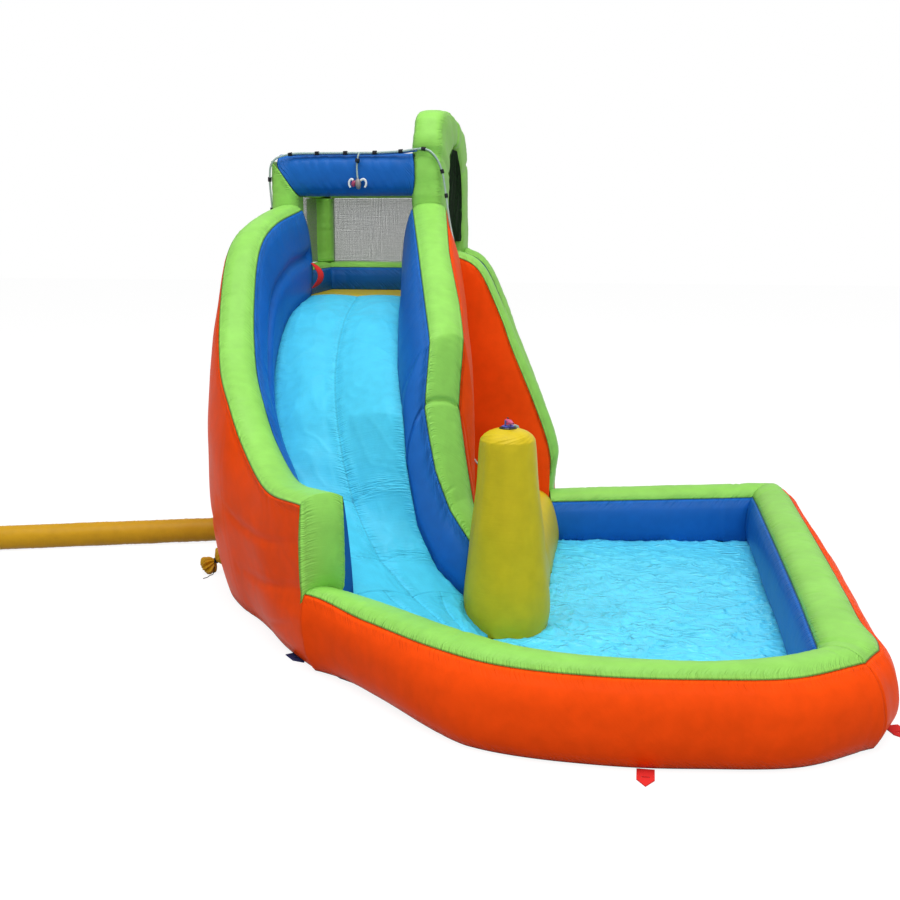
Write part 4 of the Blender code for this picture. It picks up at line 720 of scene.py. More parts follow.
def grid_piece(name, grid, seam=None, flip=False):
    """A mesh over a grid of points."""
    rows, columns = grid.shape[:2]
    faces = grid_faces(rows, columns)
    if flip:
        faces = [tuple(reversed(f)) for f in faces]
    cloth = np.stack([run_length(grid, 0), run_length(grid, 1)], 2).reshape(-1, 2)
    near = np.full(rows * columns, 0.1) if seam is None else seam.ravel()
    return mesh_piece(name, grid.reshape(-1, 3), faces, cloth, near)


def face_up(obj):
    """Turns a mesh so that its faces look up."""
    if sum(p.normal.z * p.area for p in obj.data.polygons) < 0:
        obj.data.flip_normals()


def welded(obj, fill=None):
    """Joins the points that lie on each other, fills what is left open and turns the faces one way."""
    shell = bmesh.new()
    shell.from_mesh(obj.data)
    bmesh.ops.remove_doubles(shell, verts=shell.verts, dist=MERGE)
    if fill:
        bmesh.ops.holes_fill(shell, edges=[e for e in shell.edges if e.is_boundary and fill(e)], sides=0)
    bmesh.ops.recalc_face_normals(shell, faces=shell.faces)
    shell.to_mesh(obj.data)
    shell.free()


def thicken(obj, metres):
    """Gives a cloth its thickness, half to each side."""
    thick = obj.modifiers.new("thickness", "SOLIDIFY")
    thick.thickness = metres
    thick.offset = 0


def panel_piece(node, kind, grid, centres, outward, seed, **sewing):
    """One sewn panel with its hems, facing out."""
    points, edge = sewn(grid, centres, outward, seed, **sewing)
    wide = turned_in(points, centres, bpy.context.scene.water_park_fabric.hem)
    near = np.zeros(wide.shape[:2])
    near[1:-1, 1:-1] = edge
    obj = grid_piece(f"{node}_skin", wide, near, flip=np.sum(faces_along(grid) * outward) < 0)
    return dressed(obj, kind, node)


# Walls, by the marks of a section: how far each seam and foot lies from the outer seam, and how high


def wall_grids(stations, marks_of, bulges, counts):
    """The panels of a wall as grids of points, their outward vectors and the middles of its sections."""
    grids = [[] for _ in counts]
    faces = [[] for _ in counts]
    centres = []
    for station in stations:
        outer, inner = np.array(station[:2]), np.array(station[2:4])
        width = np.linalg.norm(inner - outer)
        across = (inner - outer) / width
        marks = marks_of(width, station)
        section = []
        for k, (start, end, bulge, count) in enumerate(zip(marks, marks[1:], bulges, counts)):
            dw, dz = end[0] - start[0], end[1] - start[1]
            size = math.hypot(dw, dz)
            t = spread(count + 1)
            rise = bulge * swell(t)
            w = start[0] + dw * t - dz / size * rise
            z = start[1] + dz * t + dw / size * rise
            points = np.column_stack([outer[0] + across[0] * w, outer[1] + across[1] * w, z])
            grids[k].append(points)
            out = (-dz / size * across[0], -dz / size * across[1], dw / size)
            faces[k].append(np.tile(out, (count + 1, 1)))
            section.append(points)
        centres.append(np.concatenate(section).mean(axis=0))
    return [np.array(g) for g in grids], [np.array(f) for f in faces], np.array(centres)


def toe(station, out):
    tucked = held(TUCK_REACH - math.dist(station[:2], TUCK_PLACE))
    return out - (out + TUCK) * tucked


def pool_marks(width, station):
    foot = (-toe(station, POOL_TOE[0]), BASE)
    return [foot, (0, POOL_OUTER), (width, POOL_INNER), (width + POOL_TOE[1], BASE)]


def slide_marks(width, station):
    crest, foot, lean = station[4:7]
    return [(-toe(station, SLIDE_TOE), BASE), (0, crest), (width, crest), (width + lean, foot)]


def rail_marks(width, station):
    return [(-SLIDE_TOE, BASE), (0, station[4]), (width, station[4]), (width + RAIL_LEAN, station[5])]


def parapet_marks(width, _station):
    return [(-SLIDE_TOE, BASE), (0, PARAPET_SEAM), (width, PARAPET_SEAM), (width + PARAPET_LEAN, DECK)]


def low_wall_toe(station):
    return LOW_WALL_TOE * np.clip((station[1] + 0.5) / 0.5, 0.1, 1)


def low_wall_marks(width, station):
    """The low wall rises to the pool wall's height where it meets the ramp."""
    seam = LOW_WALL_SEAM + 0.05 * held(station[1] / 0.95)
    return [(-LOW_WALL_TOE, BASE), (0, seam), (width, seam), (width + low_wall_toe(station), BASE)]


def short_folds(count, seed):
    """Small folds that run from the seams of a top panel part of the way across it."""
    found = []
    for k in range(count):
        share = (k + 0.5 + 0.45 * noise.noise((k * 1.7, seed, 0.3))) / count
        side = k % 3 == 0
        reach = 0.45 + 0.4 * noise.noise((k * 2.3, seed, 5.1))
        slant = 0.02 * noise.noise((k * 3.1, seed, 9.9))
        depth = 0.0035 + 0.003 * noise.noise((k * 1.3, seed, 7.7))
        found.append(((share, float(side)), (share + slant, 1 - reach if side else reach), depth, 0.006))
    return found


def wall(prefix, stations, marks_of, bulges, counts, seed, gathers=(1, 1, 1), reshape=None, **marked):
    """A wall's orange, green and blue panels; lobes are on the inner one and folds on the outer."""
    grids, outs, centres = wall_grids(stations, marks_of, bulges, counts)
    if reshape:
        reshape(grids)
    creases = marked.get("creases", ())
    faint = [(share, depth / 4, half) for share, depth, half in creases]
    outer, top, inner = (
        {"creases": faint, "folds": marked.get("folds", ()), "seams": (False, True)},
        {"creases": creases, "folds": short_folds(14, seed)},
        {"creases": creases, "lobes": marked.get("lobes", ()), "seams": (True, False)},
    )
    panels = (("outer", "orange", outer), ("top", "green", top), ("inner", "blue", inner))
    for k, (part, paint, sewing) in enumerate(panels):
        sewing["gathers"] = gathers[k]
        panel_piece(prefix + part, paint, grids[k], centres, outs[k], seed + k * 2.7, **sewing)


# Tubes, bars and straps


def superellipse(half_a, half_b, count, power=0.5):
    """A rounded rectangle as an array of 2D points."""
    turn = 2 * math.pi * np.arange(count) / count
    sides = ((np.cos(turn), half_a), (np.sin(turn), half_b))
    return np.column_stack([np.sign(way) * np.abs(way) ** power * half for way, half in sides])


def tube_grid(sections, middles):
    """Rings of points with gathers and four sewn edges; returns the rings and metres to a seam."""
    cut = bpy.context.scene.water_park_fabric
    rings, middles = np.array(sections), np.array(middles)
    count = rings.shape[1]
    around = run_length(np.concatenate([rings, rings[:, :1]], axis=1), 1)
    along = run_length(rings, 0)
    corners = [(count * k) // 8 for k in (1, 3, 5, 7)]
    near = np.min([np.abs(around[:, :-1] - around[:, c : c + 1]) for c in corners], axis=0)
    seed = float(middles[0].sum())
    height = gathered(along, near, seed, seed + 4) * 1.2 * np.exp(-near / 0.05) * (1 - bell(near, 0.011))
    height -= cut.seam_depth * 0.6 * bell(near, 0.009)
    return rings + unit(rings - middles[:, None, :]) * height[:, :, None], near


def tube_piece(node, kind, rings, near, hem=0.012, shut=False, slot=None):
    """A tube over rings of points, its ends turned inward by the hem, or shut with a cloth across."""
    middle = rings.mean(axis=1, keepdims=True)
    ends = []
    for end in (0, -1):
        way = middle[end] - rings[end]
        steps = [rings[end] + unit(way) * hem]
        steps += [rings[end] + way * share for share in (0.6, 0.98) if shut]
        ends.append(np.array(steps))
    rings = np.concatenate([ends[0][::-1], rings, ends[1]])
    edge = np.repeat(near[:1] * 0, len(ends[0]), axis=0)
    near = np.concatenate([edge, near, edge])
    closed = np.concatenate([rings, rings[:, :1]], axis=1)
    near = np.concatenate([near, near[:, :1]], axis=1)
    obj = grid_piece(f"{node}_skin", closed, near)
    welded(obj)
    return dressed(obj, kind, node, slot)


def straight_tube(node, kind, half_a, half_b, place, steps=50, power=0.62):
    """A post or beam: place() puts section points and a share of the length in space."""
    section = superellipse(half_a, half_b, 64, power)
    shares = spread(steps + 1)
    sections = [[place(a, b, t) for a, b in section] for t in shares]
    rings, _near = tube_grid(sections, [place(0, 0, t) for t in shares])
    run = run_length(rings, 0)
    return tube_piece(node, kind, rings, np.minimum(run, run[-1:] - run), shut=True)


def bar(name, points, radii, surface, slot, *nodes):
    """A round bar along points as a bevelled curve, of one radius or of one for each point."""
    curve = bpy.data.curves.new(name, "CURVE")
    curve.dimensions = "3D"
    spline = curve.splines.new("POLY")
    spline.points.add(len(points) - 1)
    even = np.isscalar(radii)
    for i, (knot, point) in enumerate(zip(spline.points, points)):
        knot.co = (*point, 1)
        knot.radius = 1 if even else radii[i]
    curve.bevel_depth = radii if even else 1
    curve.bevel_resolution = 4
    curve.use_fill_caps = True
    return register_piece(linked(name, curve), surface, slot, nodes)


def strip(name, line, sides, thickness, surface, slot, *nodes):
    """Flat webbing along a line of points, with its edges at plus and minus each side vector."""
    line, sides = np.array(line), np.array(sides)
    grid = np.array([[p + s * w for w in np.linspace(-1, 1, 5)] for p, s in zip(line, sides)])
    obj = grid_piece(name, grid)
    thicken(obj, thickness)
    return register_piece(obj, surface, slot, nodes)


def ring_round(middle, way, radii, turns):
    """Points round an axis, at a radius for each turn."""
    side = way.orthogonal().normalized()
    up = way.cross(side)
    return [middle + (side * math.cos(a) + up * math.sin(a)) * r for a, r in zip(turns, radii)]


def finish_node(node, surface, edge):
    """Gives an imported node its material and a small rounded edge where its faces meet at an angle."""
    obj = frame["nodes"][node]
    obj.data.materials.clear()
    obj.data.materials.append(surface)
    round_edge = obj.modifiers.new("rounded", "BEVEL")
    round_edge.width = edge
    round_edge.segments = 2
    round_edge.limit_method = "ANGLE"
    round_edge.angle_limit = math.radians(35)


# Operators, one for each group of pieces


class WATERPARK_OT_pool(bpy.types.Operator):
    """Build the three pool walls, the low yellow wall and the crinkled pool floor"""

    bl_idname = "waterpark.pool"
    bl_label = "Pool"

    def execute(self, context):
        side, line = smooth(POOL_RIGHT_KNOTS, 90), smooth(POOL_BACK_KNOTS, 60)
        near, far = straight(POOL_CORNER_FRONT, side[0], 8)[:-1], straight(side[-1], POOL_CORNER_BACK, 10)[1:]
        back = np.vstack([straight(POOL_CORNER_BACK, line[0], 8)[:-1], line])
        for part, stations, seed, reshape in (
            ("front", smooth(POOL_FRONT_KNOTS, 32), 1.3, self.slim_start),
            ("right", np.vstack([near, side, far]), 5.9, self.draw_in),
            ("back", back, 9.1, self.sink_end),
        ):
            shape = (stations, pool_marks, POOL_BULGES, POOL_ROWS, seed)
            wall(f"pool_{part}_", *shape, creases=POOL_CREASES[part], reshape=reshape)
        self.low_wall()
        self.floor()
        return {"FINISHED"}

    def slim_start(self, grids):
        """The front wall is slimmer where it starts at the slide: its seam and its swell stand further in."""
        outer, top = grids[:2]
        count = len(outer)
        rising, falling = spread(outer.shape[1]), spread(top.shape[1], 1, 0)
        for i in range(count):
            done = i / (count - 1) / SLIM_RUN
            share = max(1 - done, 0) ** 2 * (1 + 2 * min(done, 1))
            across = unit(top[i, -1, :2] - top[i, 0, :2])
            swollen = swell(rising) * SLIM_SWELL * share
            outer[i, :, :2] += np.outer(SLIM_SHIFT / 2 * share * (1 + rising) + swollen, across)
            top[i, :, :2] += np.outer(SLIM_SHIFT * share * falling, across)
            outer[i, :, 2] += SLIM_RISE * share * rising
            top[i, :, 2] += SLIM_RISE * share * falling

    def draw_in(self, grids):
        """The right wall stands further in towards the back, and its seam is round at the front corner."""
        for grid in grids:
            grid[:, :, 0] -= DRAW_IN * held((grid[:, :, 1] - DRAW_FROM) / DRAW_RUN)
        for grid, (first, last) in zip(grids[:2], ((0, 1), (1, 0))):
            round_out = ROUND_OUT * bell(grid[:, :, 1] - ROUND_Y, ROUND_HALF)
            grid[:, :, 0] += round_out * np.linspace(first, last, grid.shape[1])

    def sink_end(self, grids):
        """The back wall loses height towards the ramp."""
        for grid in grids:
            share = held((POOL_CORNER_BACK[0] - grid[:, :, 0]) / SINK_RUN)
            grid[:, :, 0] -= DRAW_IN * held((grid[:, :, 0] - 1.8) / 0.4)
            grid[:, :, 2] = BASE + (grid[:, :, 2] - BASE) * (1 - SINK_SHARE * share)

    def low_wall(self):
        """The yellow wall that closes the pool beside the ramp; one cloth over both sides and the top."""
        stations = smooth(LOW_WALL_KNOTS, 16)
        grids, outs, centres = wall_grids(stations, low_wall_marks, LOW_WALL_BULGES, (10, 10, 10))
        grid, out = (np.concatenate([a, b[:, 1:], c[:, 1:]], axis=1) for a, b, c in (grids, outs))
        keep = np.linalg.norm(centres[:, :2] - np.array(COLUMN), axis=1) > COLUMN_WALL
        creases = [(0.55, 0.012, 0.03), (0.75, 0.01, 0.025)]
        shape = (grid[keep], centres[keep], out[keep], 13.7)
        panel_piece("pool_left_wall", "yellow", *shape, creases=creases, seams=(False, False))

    def outline(self):
        """The edge of the pool floor, a little inside the CAD floor's, as points every 20 mm or so."""
        end = RUNOUT_KNOTS[-1]
        front, back = smooth(POOL_FRONT_KNOTS, 18), smooth(POOL_BACK_KNOTS, 60)
        walls = [*front, *smooth(POOL_RIGHT_KNOTS, 60), POOL_CORNER_BACK, *back]
        line = [self.beyond(place, POOL_TOE[1] + 0.003) for place in walls]
        line = [p for p in line if (p[0] > end[0] + 0.004 and p[1] < 0) or p[0] > 0.93]
        line += [self.beyond(place, low_wall_toe(place)) for place in smooth(LOW_WALL_KNOTS, 16)]
        x, y = COLUMN
        for turn in (math.radians(degrees) for degrees in range(5, -101, -6)):
            line.append((x + COLUMN_FLOOR * math.cos(turn), y + COLUMN_FLOOR * math.sin(turn)))
        line += [tuple(p) for p in straight((end[2] + 0.004, end[3]), (end[0] + 0.004, end[1]), 24)]
        return np.array(line)

    def beyond(self, place, metres):
        """The point so far past a wall's inner seam, seen from above."""
        ox, oy, ix, iy = place
        reach = metres / math.dist((ox, oy), (ix, iy))
        return ix + (ix - ox) * reach, iy + (iy - oy) * reach

    def floor(self):
        """Crinkled cloth between the walls' feet: rings of points from the edge to a point inside."""
        edge = self.outline()
        middle = np.array(FLOOR_MIDDLE)
        shares = spread(90)[:-1]
        flat = edge[None] + (middle - edge)[None] * shares[:, None, None]
        x, y = flat[:, :, 0], flat[:, :, 1]
        bend = 0.06 * noise_at(x / 0.3, y / 0.3, 2.2)
        coarse = 1 - 2 * np.abs(noise_at(x / 0.19 + bend * 8, y / 0.13, 4.4))
        fine = 1 - 2 * np.abs(noise_at(x / 0.07 + bend * 20, y / 0.055, 7.7))
        grid = np.stack([x, y, 0.0088 + (0.013 * held(coarse) ** 4 + 0.008 * held(fine) ** 4)], 2)
        obj = grid_piece("pool_floor_cloth", np.concatenate([grid, grid[:, :1]], axis=1), flip=True)
        welded(obj, lambda seam: all((Vector(v.co[:2]) - Vector(middle)).length < 0.2 for v in seam.verts))
        face_up(obj)
        surface, slot = fabric_of("aqua", use="_floor", laid=True, gloss=0.4, roughness=0.34)
        register_piece(obj, surface, slot, ["pool_floor"])


class WATERPARK_OT_slide(bpy.types.Operator):
    """Build the slide's two bowed walls, its end face, channelled bed and runout"""

    bl_idname = "waterpark.slide"
    bl_label = "Slide"

    def execute(self, context):
        left, right = smooth(SLIDE_LEFT_KNOTS, SLIDE_STEPS), kinked(SLIDE_RIGHT_KNOTS, SLIDE_STEPS, 0.7)
        shape = (left, slide_marks, SLIDE_LEFT_BULGES, SLIDE_ROWS, 21.3, (0.9, 0.8, 1.2), self.low_end)
        wall("slide_left_", *shape, creases=SLIDE_CREASES, lobes=SLIDE_LOBES, folds=SLIDE_FOLDS)
        crest = right[:, (0, 1, 4)] / 2 + right[:, (2, 3, 4)] / 2
        run = np.concatenate([[0], np.cumsum(np.linalg.norm(np.diff(crest, axis=0), axis=1))])
        upper, lower = run[SLIDE_STEPS * 4] / run[-1], run[SLIDE_STEPS * 5] / run[-1]
        shape = (right, slide_marks, SLIDE_RIGHT_BULGES, SLIDE_ROWS, 27.9, (1, 0.9, 1.2), self.top_swell)
        wall("slide_right_", *shape, creases=[(lower, 0.015, 0.011), (upper, 0.004, 0.02)])
        self.end_face(left[-1])
        self.bed(left, right)
        self.runout(left[-1], right[-1])
        self.web(left, right)
        return {"FINISHED"}

    def end_profile(self, z, crest):
        """How far the outer side stands from its seam at the low end, where it runs into the pool's wall."""
        out = []
        for shift in (-0.04, 0.0, 0.04):
            low = held((z + shift - BASE) / (POOL_OUTER - BASE))
            high = held((z + shift - POOL_OUTER) / (crest - POOL_OUTER))
            out.append(0.04 - 0.045 * low - 0.05 * swell(low) + 0.005 * high - 0.014 * swell(high))
        return np.mean(out, axis=0)

    def low_end(self, grids):
        """Draws the last third of the left wall into the shape of the pool wall that it joins."""
        outer, top, inner = grids
        up, down = spread(outer.shape[1]), spread(outer.shape[1], 1, 0)
        count, breadth = len(outer), spread(inner.shape[1])
        for i in range(count):
            share = held((i / (count - 1) - LOW_END_FROM) / (1 - LOW_END_FROM))
            share = share * share * (3 - 2 * share)
            seam, across = outer[i, -1].copy(), unit(top[i, -1, :2] - outer[i, -1, :2])
            stand = (outer[i, :, :2] - seam[:2]) @ across
            target = self.end_profile(outer[i, :, 2], seam[2])
            target -= target[-1]
            outer[i, :, :2] += np.outer((target - stand) * share, across)
            ease = 0.8 * share * SLIDE_LEFT_BULGES[2] * swell(breadth)
            inner[i, :, :2] -= np.outer(ease, across)
            outer[i, :, 0] -= LOW_END_LEFT * share * up
            outer[i, :, :2] += np.outer(LOW_END_FOOT * share**3 * down, across)
            top[i, :, 0] -= LOW_END_LEFT * share
            inner[i, :, 0] -= LOW_END_LEFT * share * spread(inner.shape[1], 1, 0)

    def top_swell(self, grids):
        """The right wall's outer side swells out under its seam near the tower."""
        outer = grids[0]
        over = np.sin(math.pi * held((spread(outer.shape[1])[None] - 0.62) / 0.38)) ** 0.7
        y = outer[:, -1:, 1]
        outer[:, :, 0] += TOP_SWELL * over * (held((0.85 - y) / 0.05) * held((y + 0.1) / 0.6))

    def end_face(self, last):
        """The green face over the low end of the left wall, gathered along both its sides."""
        outer, inner = np.array([*last[:2], 0]), np.array([*last[2:4], 0])
        width = np.linalg.norm(inner - outer)
        across = (inner - outer) / width
        x, y = POOL_FRONT_KNOTS[1][:2]
        way = unit(np.array([x - last[0], y - last[1], 0]))
        crest, foot = last[4:6]
        u, v = np.meshgrid(spread(27), spread(40))
        low = POOL_OUTER + (POOL_INNER - POOL_OUTER) * u + POOL_BULGES[1] * swell(u) - 0.004
        z = low + (crest + SLIDE_LEFT_BULGES[1] * swell(u) - low) * v
        start = self.end_profile(z, crest)
        start -= self.end_profile(np.array([crest]), crest)[0]
        down = held((crest - z) / (crest - foot))
        end = width + 0.05 * SLIDE_LEFT_BULGES[2] * swell(down) - 0.002 + 0.004 * down
        side = np.minimum(u, 1 - u) * width
        pleat = np.abs(noise_at(z / 0.021, u * 1.3, 3.1))
        out = 0.05 * swell(u) * swell(v)
        out = out + (0.016 * pleat - 0.004) * np.exp(-side / 0.05) * (1 - bell(side, 0.008)) * swell(v)
        grid = outer + across * (start + (end - start) * u)[:, :, None] + way * (out + 0.003)[:, :, None]
        grid[:, :, 0] -= LOW_END_LEFT
        grid[:, :, 2] = z
        obj = grid_piece("slide_left_end_skin", grid, seam=side)
        if np.sum(np.array([p.normal for p in obj.data.polygons]) @ way) < 0:
            obj.data.flip_normals()
        dressed(obj, "green", "slide_left_end")

    def edge(self, station, beyond=0.004):
        ox, oy, ix, iy, _, foot, lean = station
        width = math.dist((ox, oy), (ix, iy))
        reach = (width + lean - beyond) / width
        return np.array([ox + (ix - ox) * reach, oy + (iy - oy) * reach, foot])

    def channelled(self, pairs, channels, crown, steps, joins, seed, starts, lift=0.0):
        """Cloth between pairs of edge points, crowned in each channel and sewn across at the joins.

        Starts gives the channels and crown of the cloth it continues, which it takes on at its first end.
        """
        t = spread(channels * steps + 1)
        rise = crown * np.abs(np.sin(math.pi * channels * t)) ** 0.7
        grid = np.array([a + (b - a) * t[:, None] + np.outer(rise, (0, 0, 1)) for a, b in pairs])
        first = starts[1] * np.abs(np.sin(math.pi * starts[0] * t)) ** 0.7
        for i in range(EASE_ROWS):
            grid[i, :, 2] += (first - rise) * (1 - i / EASE_ROWS) ** 2
        run, reach = run_length(grid, 0), run_length(grid, 1)
        total = run[-1:, :]
        phase = np.abs(np.mod(t * channels, 1))
        near = np.minimum(phase, 1 - phase)[None] * reach[:, -1:] / channels
        fold = np.abs(noise_at(run / 0.05, near / 0.2, seed))
        height = (1.7 * fold - 0.5) * 0.006 * np.exp(-near / 0.06)
        soft = noise_at(run / 0.2, reach / 0.16, seed + 5)
        sharp = 1 - 2 * np.abs(noise_at(run / 0.16 + soft, reach / 0.1, seed + 8))
        height += (0.006 * soft + 0.005 * held(sharp) ** 3) * held(near / 0.03)
        for share, depth in joins:
            off = np.abs(run - total * share + 0.012 * noise_at(reach / 0.2, 0, share * 17))
            height -= depth * bell(off, 0.012)
            pleat = np.abs(noise_at(reach / 0.045, off / 0.2, share * 23))
            height += (1.5 * pleat - 0.45) * 0.007 * np.exp(-off / 0.06)
            near = np.minimum(near, off)
        grid[:, :, 2] += height * (1 - bell(np.minimum(run, total - run), 0.025)) + lift
        return grid, near

    def bed(self, left, right):
        pairs = [(self.edge(a), self.edge(b)) for a, b in zip(left, right)]
        grid, near = self.channelled(pairs, 2, 0.03, 30, [(0.75, 0.010), (0.9, 0.009)], 31.7, (2, 0.012))
        lip = grid[[-1]] - (0, 0, LIP)
        self.cloth("slide_bed", np.concatenate([grid, lip]), np.concatenate([near, near[[-1]]]))

    def runout(self, last_left, last_right):
        a, b = self.edge(last_left), self.edge(last_right)
        knots = [(a[0], a[1], b[0], b[1], a[2], b[2]), *RUNOUT_KNOTS]
        pairs = [(np.array([k[0], k[1], k[4]]), np.array([k[2], k[3], k[5]])) for k in smooth(knots, 26)]
        grid, near = self.channelled(pairs, 4, 0.022, 15, [], 35.1, (2, 0.03), lift=0.0005)
        grid = np.concatenate([self.to_wall(grid), grid, self.to_column(grid)], axis=1)
        near = np.pad(near, ((1, 1), (2, 2)), "edge")
        lip, low = grid[[0]] - (0, 0, LIP), grid[[-1]] * (1, 1, 0) + (0, 0, 0.007)
        self.cloth("slide_runout", np.concatenate([lip, grid, low]), near)

    def cloth(self, node, grid, near):
        obj = grid_piece(f"{node}_cloth", grid, near)
        face_up(obj)
        dressed(obj, "aqua", node)

    def to_column(self, grid):
        """Carries the runout's edge on to the column, so that no gap is left between them."""
        more = []
        for edge in grid[:, -1]:
            way = np.array([*COLUMN, edge[2]]) - edge
            gap = np.linalg.norm(way)
            step = way / gap * max(gap - COLUMN_RUNOUT, 0) if gap < COLUMN_NEAR else way * 0
            more.append([edge + step * s - (0, 0, 0.25 * edge[2] * s) for s in (0.5, 1.0)])
        return np.array(more)

    def to_wall(self, grid):
        """Carries the runout's other edge on to the inner side of the pool's front wall."""
        line = smooth(POOL_FRONT_KNOTS, 18)
        face = line[:, 2:4] + unit(line[:, 2:4] - line[:, :2]) * WALL_PAST
        more = []
        for edge in grid[:, 0]:
            nearest = face[np.argmin(np.linalg.norm(face - edge[:2], axis=1))]
            way = np.array([*(nearest - edge[:2]), 0])
            way = way if np.linalg.norm(way) < WALL_NEAR else way * 0
            more.append([edge + way * s - (0, 0, 0.15 * edge[2] * s) for s in (1.0, 0.5)])
        return np.array(more)

    def web(self, left, right):
        """The inner web that holds the bed's long seam down."""
        line = [(self.edge(a) + self.edge(b)) / 2 for a, b in zip(left[10:-10], right[10:-10])]
        shares = spread(24)
        grid = np.array([[(p[0], p[1], BASE + (p[2] - 0.008 - BASE) * s) for s in shares] for p in line])
        dressed(grid_piece("slide_web_cloth", grid), "blue", "slide_web")


class WATERPARK_OT_tower(bpy.types.Operator):
    """Build the tower's skin and parapet, deck, posts, beams and entrance arch"""

    bl_idname = "waterpark.tower"
    bl_label = "Tower"

    def execute(self, context):
        left, back = (TOWER_LEFT, TOWER_LEFT + PARAPET_SIDE), (TOWER_BACK, TOWER_BACK - PARAPET_BACK)
        front = TOWER_FRONT + 0.008
        corner = (left[0], back[0], left[1], back[1])
        line = straight((left[0], front, left[1], front), corner, 50)[:-1]
        line = np.vstack([line, straight(corner, (TOWER_RIGHT, back[0], TOWER_RIGHT, back[1]), 50)])
        grids, outs, centres = wall_grids(line, parapet_marks, PARAPET_BULGES, PARAPET_ROWS)
        kinds = (("tower_outer", "orange"), ("parapet_top", "green"), ("parapet_inner", "blue"))
        for k, (node, kind) in enumerate(kinds):
            sewing = {"creases": [(0.5, 0.006, 0.02)], "seams": (k > 0, k < 2), "gathers": 1.1}
            panel_piece(node, kind, grids[k], centres, outs[k], 41.3 + k, **sewing)
        self.posts()
        self.arch()
        self.panels()
        return {"FINISHED"}

    def posts(self):
        x_mid, y_mid = POSTS_LEFT + POST / 2, TOWER_FRONT + POST_DEPTH / 2
        y_back, z_mid = BACK_POST_FRONT + POST_DEPTH / 2, (BEAM_BOTTOM + BEAM_TOP) / 2
        half = (BEAM_TOP - BEAM_BOTTOM) / 2
        right = ARCH_CENTRE - ARCH_HALF

        def front_post(a, b, t):
            x = x_mid + a
            corner = max((POSTS_LEFT + POST - x) / POST - 0.55, 0) / 0.45
            mitre = BEAM_BOTTOM + (BEAM_TOP - BEAM_BOTTOM) * (POSTS_LEFT + POST - x) / POST - 0.04 * corner**2
            return (x, y_mid + b, POST_FOOT + (mitre - POST_FOOT) * t)

        def front_beam(a, b, t):
            z = z_mid + a
            corner = max((z - z_mid) / half - 0.3, 0) / 0.7
            start = POSTS_LEFT + POST * (BEAM_TOP - z) / (BEAM_TOP - BEAM_BOTTOM) + 0.055 * corner**1.5
            # the end lies against the arch, which rounds away towards the front
            end = right + 0.01 + 0.025 * max(-b / POST_DEPTH * 2, 0) ** 2
            return (start + (end - start) * t, y_mid + b, z)

        def back_post(a, b, t):
            return (x_mid + a, y_back + b, POST_FOOT + (BEAM_BOTTOM - POST_FOOT) * t)

        def left_beam(a, b, t):
            start, end = TOWER_FRONT + POST_DEPTH, BACK_POST_FRONT + POST_DEPTH
            return (x_mid + a, start + (end - start) * t, z_mid + b)

        def back_beam(a, b, t):
            return (POSTS_LEFT + POST + (right - POSTS_LEFT - POST) * t, y_back + b, z_mid + a)

        straight_tube("front_left_post", "green", POST / 2, POST_DEPTH / 2, front_post)
        straight_tube("front_beam", "blue", half, POST_DEPTH / 2, front_beam, 100, 0.8)
        straight_tube("back_left_post", "green", POST / 2, POST_DEPTH / 2, back_post)
        straight_tube("left_beam", "green", POST / 2, half, left_beam, 70)
        straight_tube("back_beam", "green", half, POST_DEPTH / 2, back_beam, 70)

    def arch(self):
        first, last = ARCH_KNOTS[0], ARCH_KNOTS[-1]
        low = straight((first[0], DECK, first[2], DECK), first, 50)[:-1]
        end = straight(last, (last[0], POST_FOOT, last[2], POST_FOOT), 34)[1:]
        sections, middles = [], []
        for oy, oz, iy, iz in np.vstack([low, smooth(ARCH_KNOTS, 18), end]):
            outer, inner = np.array([0, oy, oz]), np.array([0, iy, iz])
            middle, half = (outer + inner) / 2, np.linalg.norm(outer - inner) / 2
            way = (outer - inner) / (2 * half)
            # the arch is drawn in where the hose's tape crosses it and where its panels are joined
            drawn = 0.018 * bell(oz - 2.335, 0.022) + 0.026 * bell(oy - 1.60, 0.03)
            drawn += 0.012 * noise.noise((oy * 9, oz * 9, 2.5))
            section = superellipse(ARCH_HALF - drawn / 2, half - drawn, 72, 0.58)
            sections.append([middle + (ARCH_CENTRE + a, 0, 0) + way * b for a, b in section])
            middles.append(middle + (ARCH_CENTRE, 0, 0))
        rings, near = tube_grid(sections, middles)
        tube_piece("entrance_arch", "green", rings, near + 0.02)

    def panels(self):
        """The deck and the flat webs, each swollen a little between its edges."""
        inner_left, inner_back = TOWER_LEFT + PARAPET_SIDE + PARAPET_LEAN, TOWER_BACK - PARAPET_BACK
        # the deck's hem lies under the parapet's foot
        left, back = inner_left - 0.02, inner_back - PARAPET_LEAN + 0.012
        width, height = TOWER_RIGHT - TOWER_LEFT - 0.012, DECK - 0.01
        for node, kind, corner, across, up, rise in (
            ("platform_deck", "yellow", (left, TOWER_FRONT, DECK), (TOWER_RIGHT - left, 0, 0),
             (0, back - TOWER_FRONT, 0), 0.004),
            ("tower_web", "blue", (TOWER_LEFT + 0.01, TOWER_FRONT + 0.002, BASE), (width, 0, 0),
             (0, 0, height), 0.0),
            ("tower_right_side", "orange", (TOWER_RIGHT - 0.001, TOWER_FRONT + 0.006, BASE),
             (0, inner_back - 0.046 - TOWER_FRONT, 0), (0, 0, height), 0.0),
        ):
            self.quilt(node, kind, np.array(corner), np.array(across, float), np.array(up, float), rise)

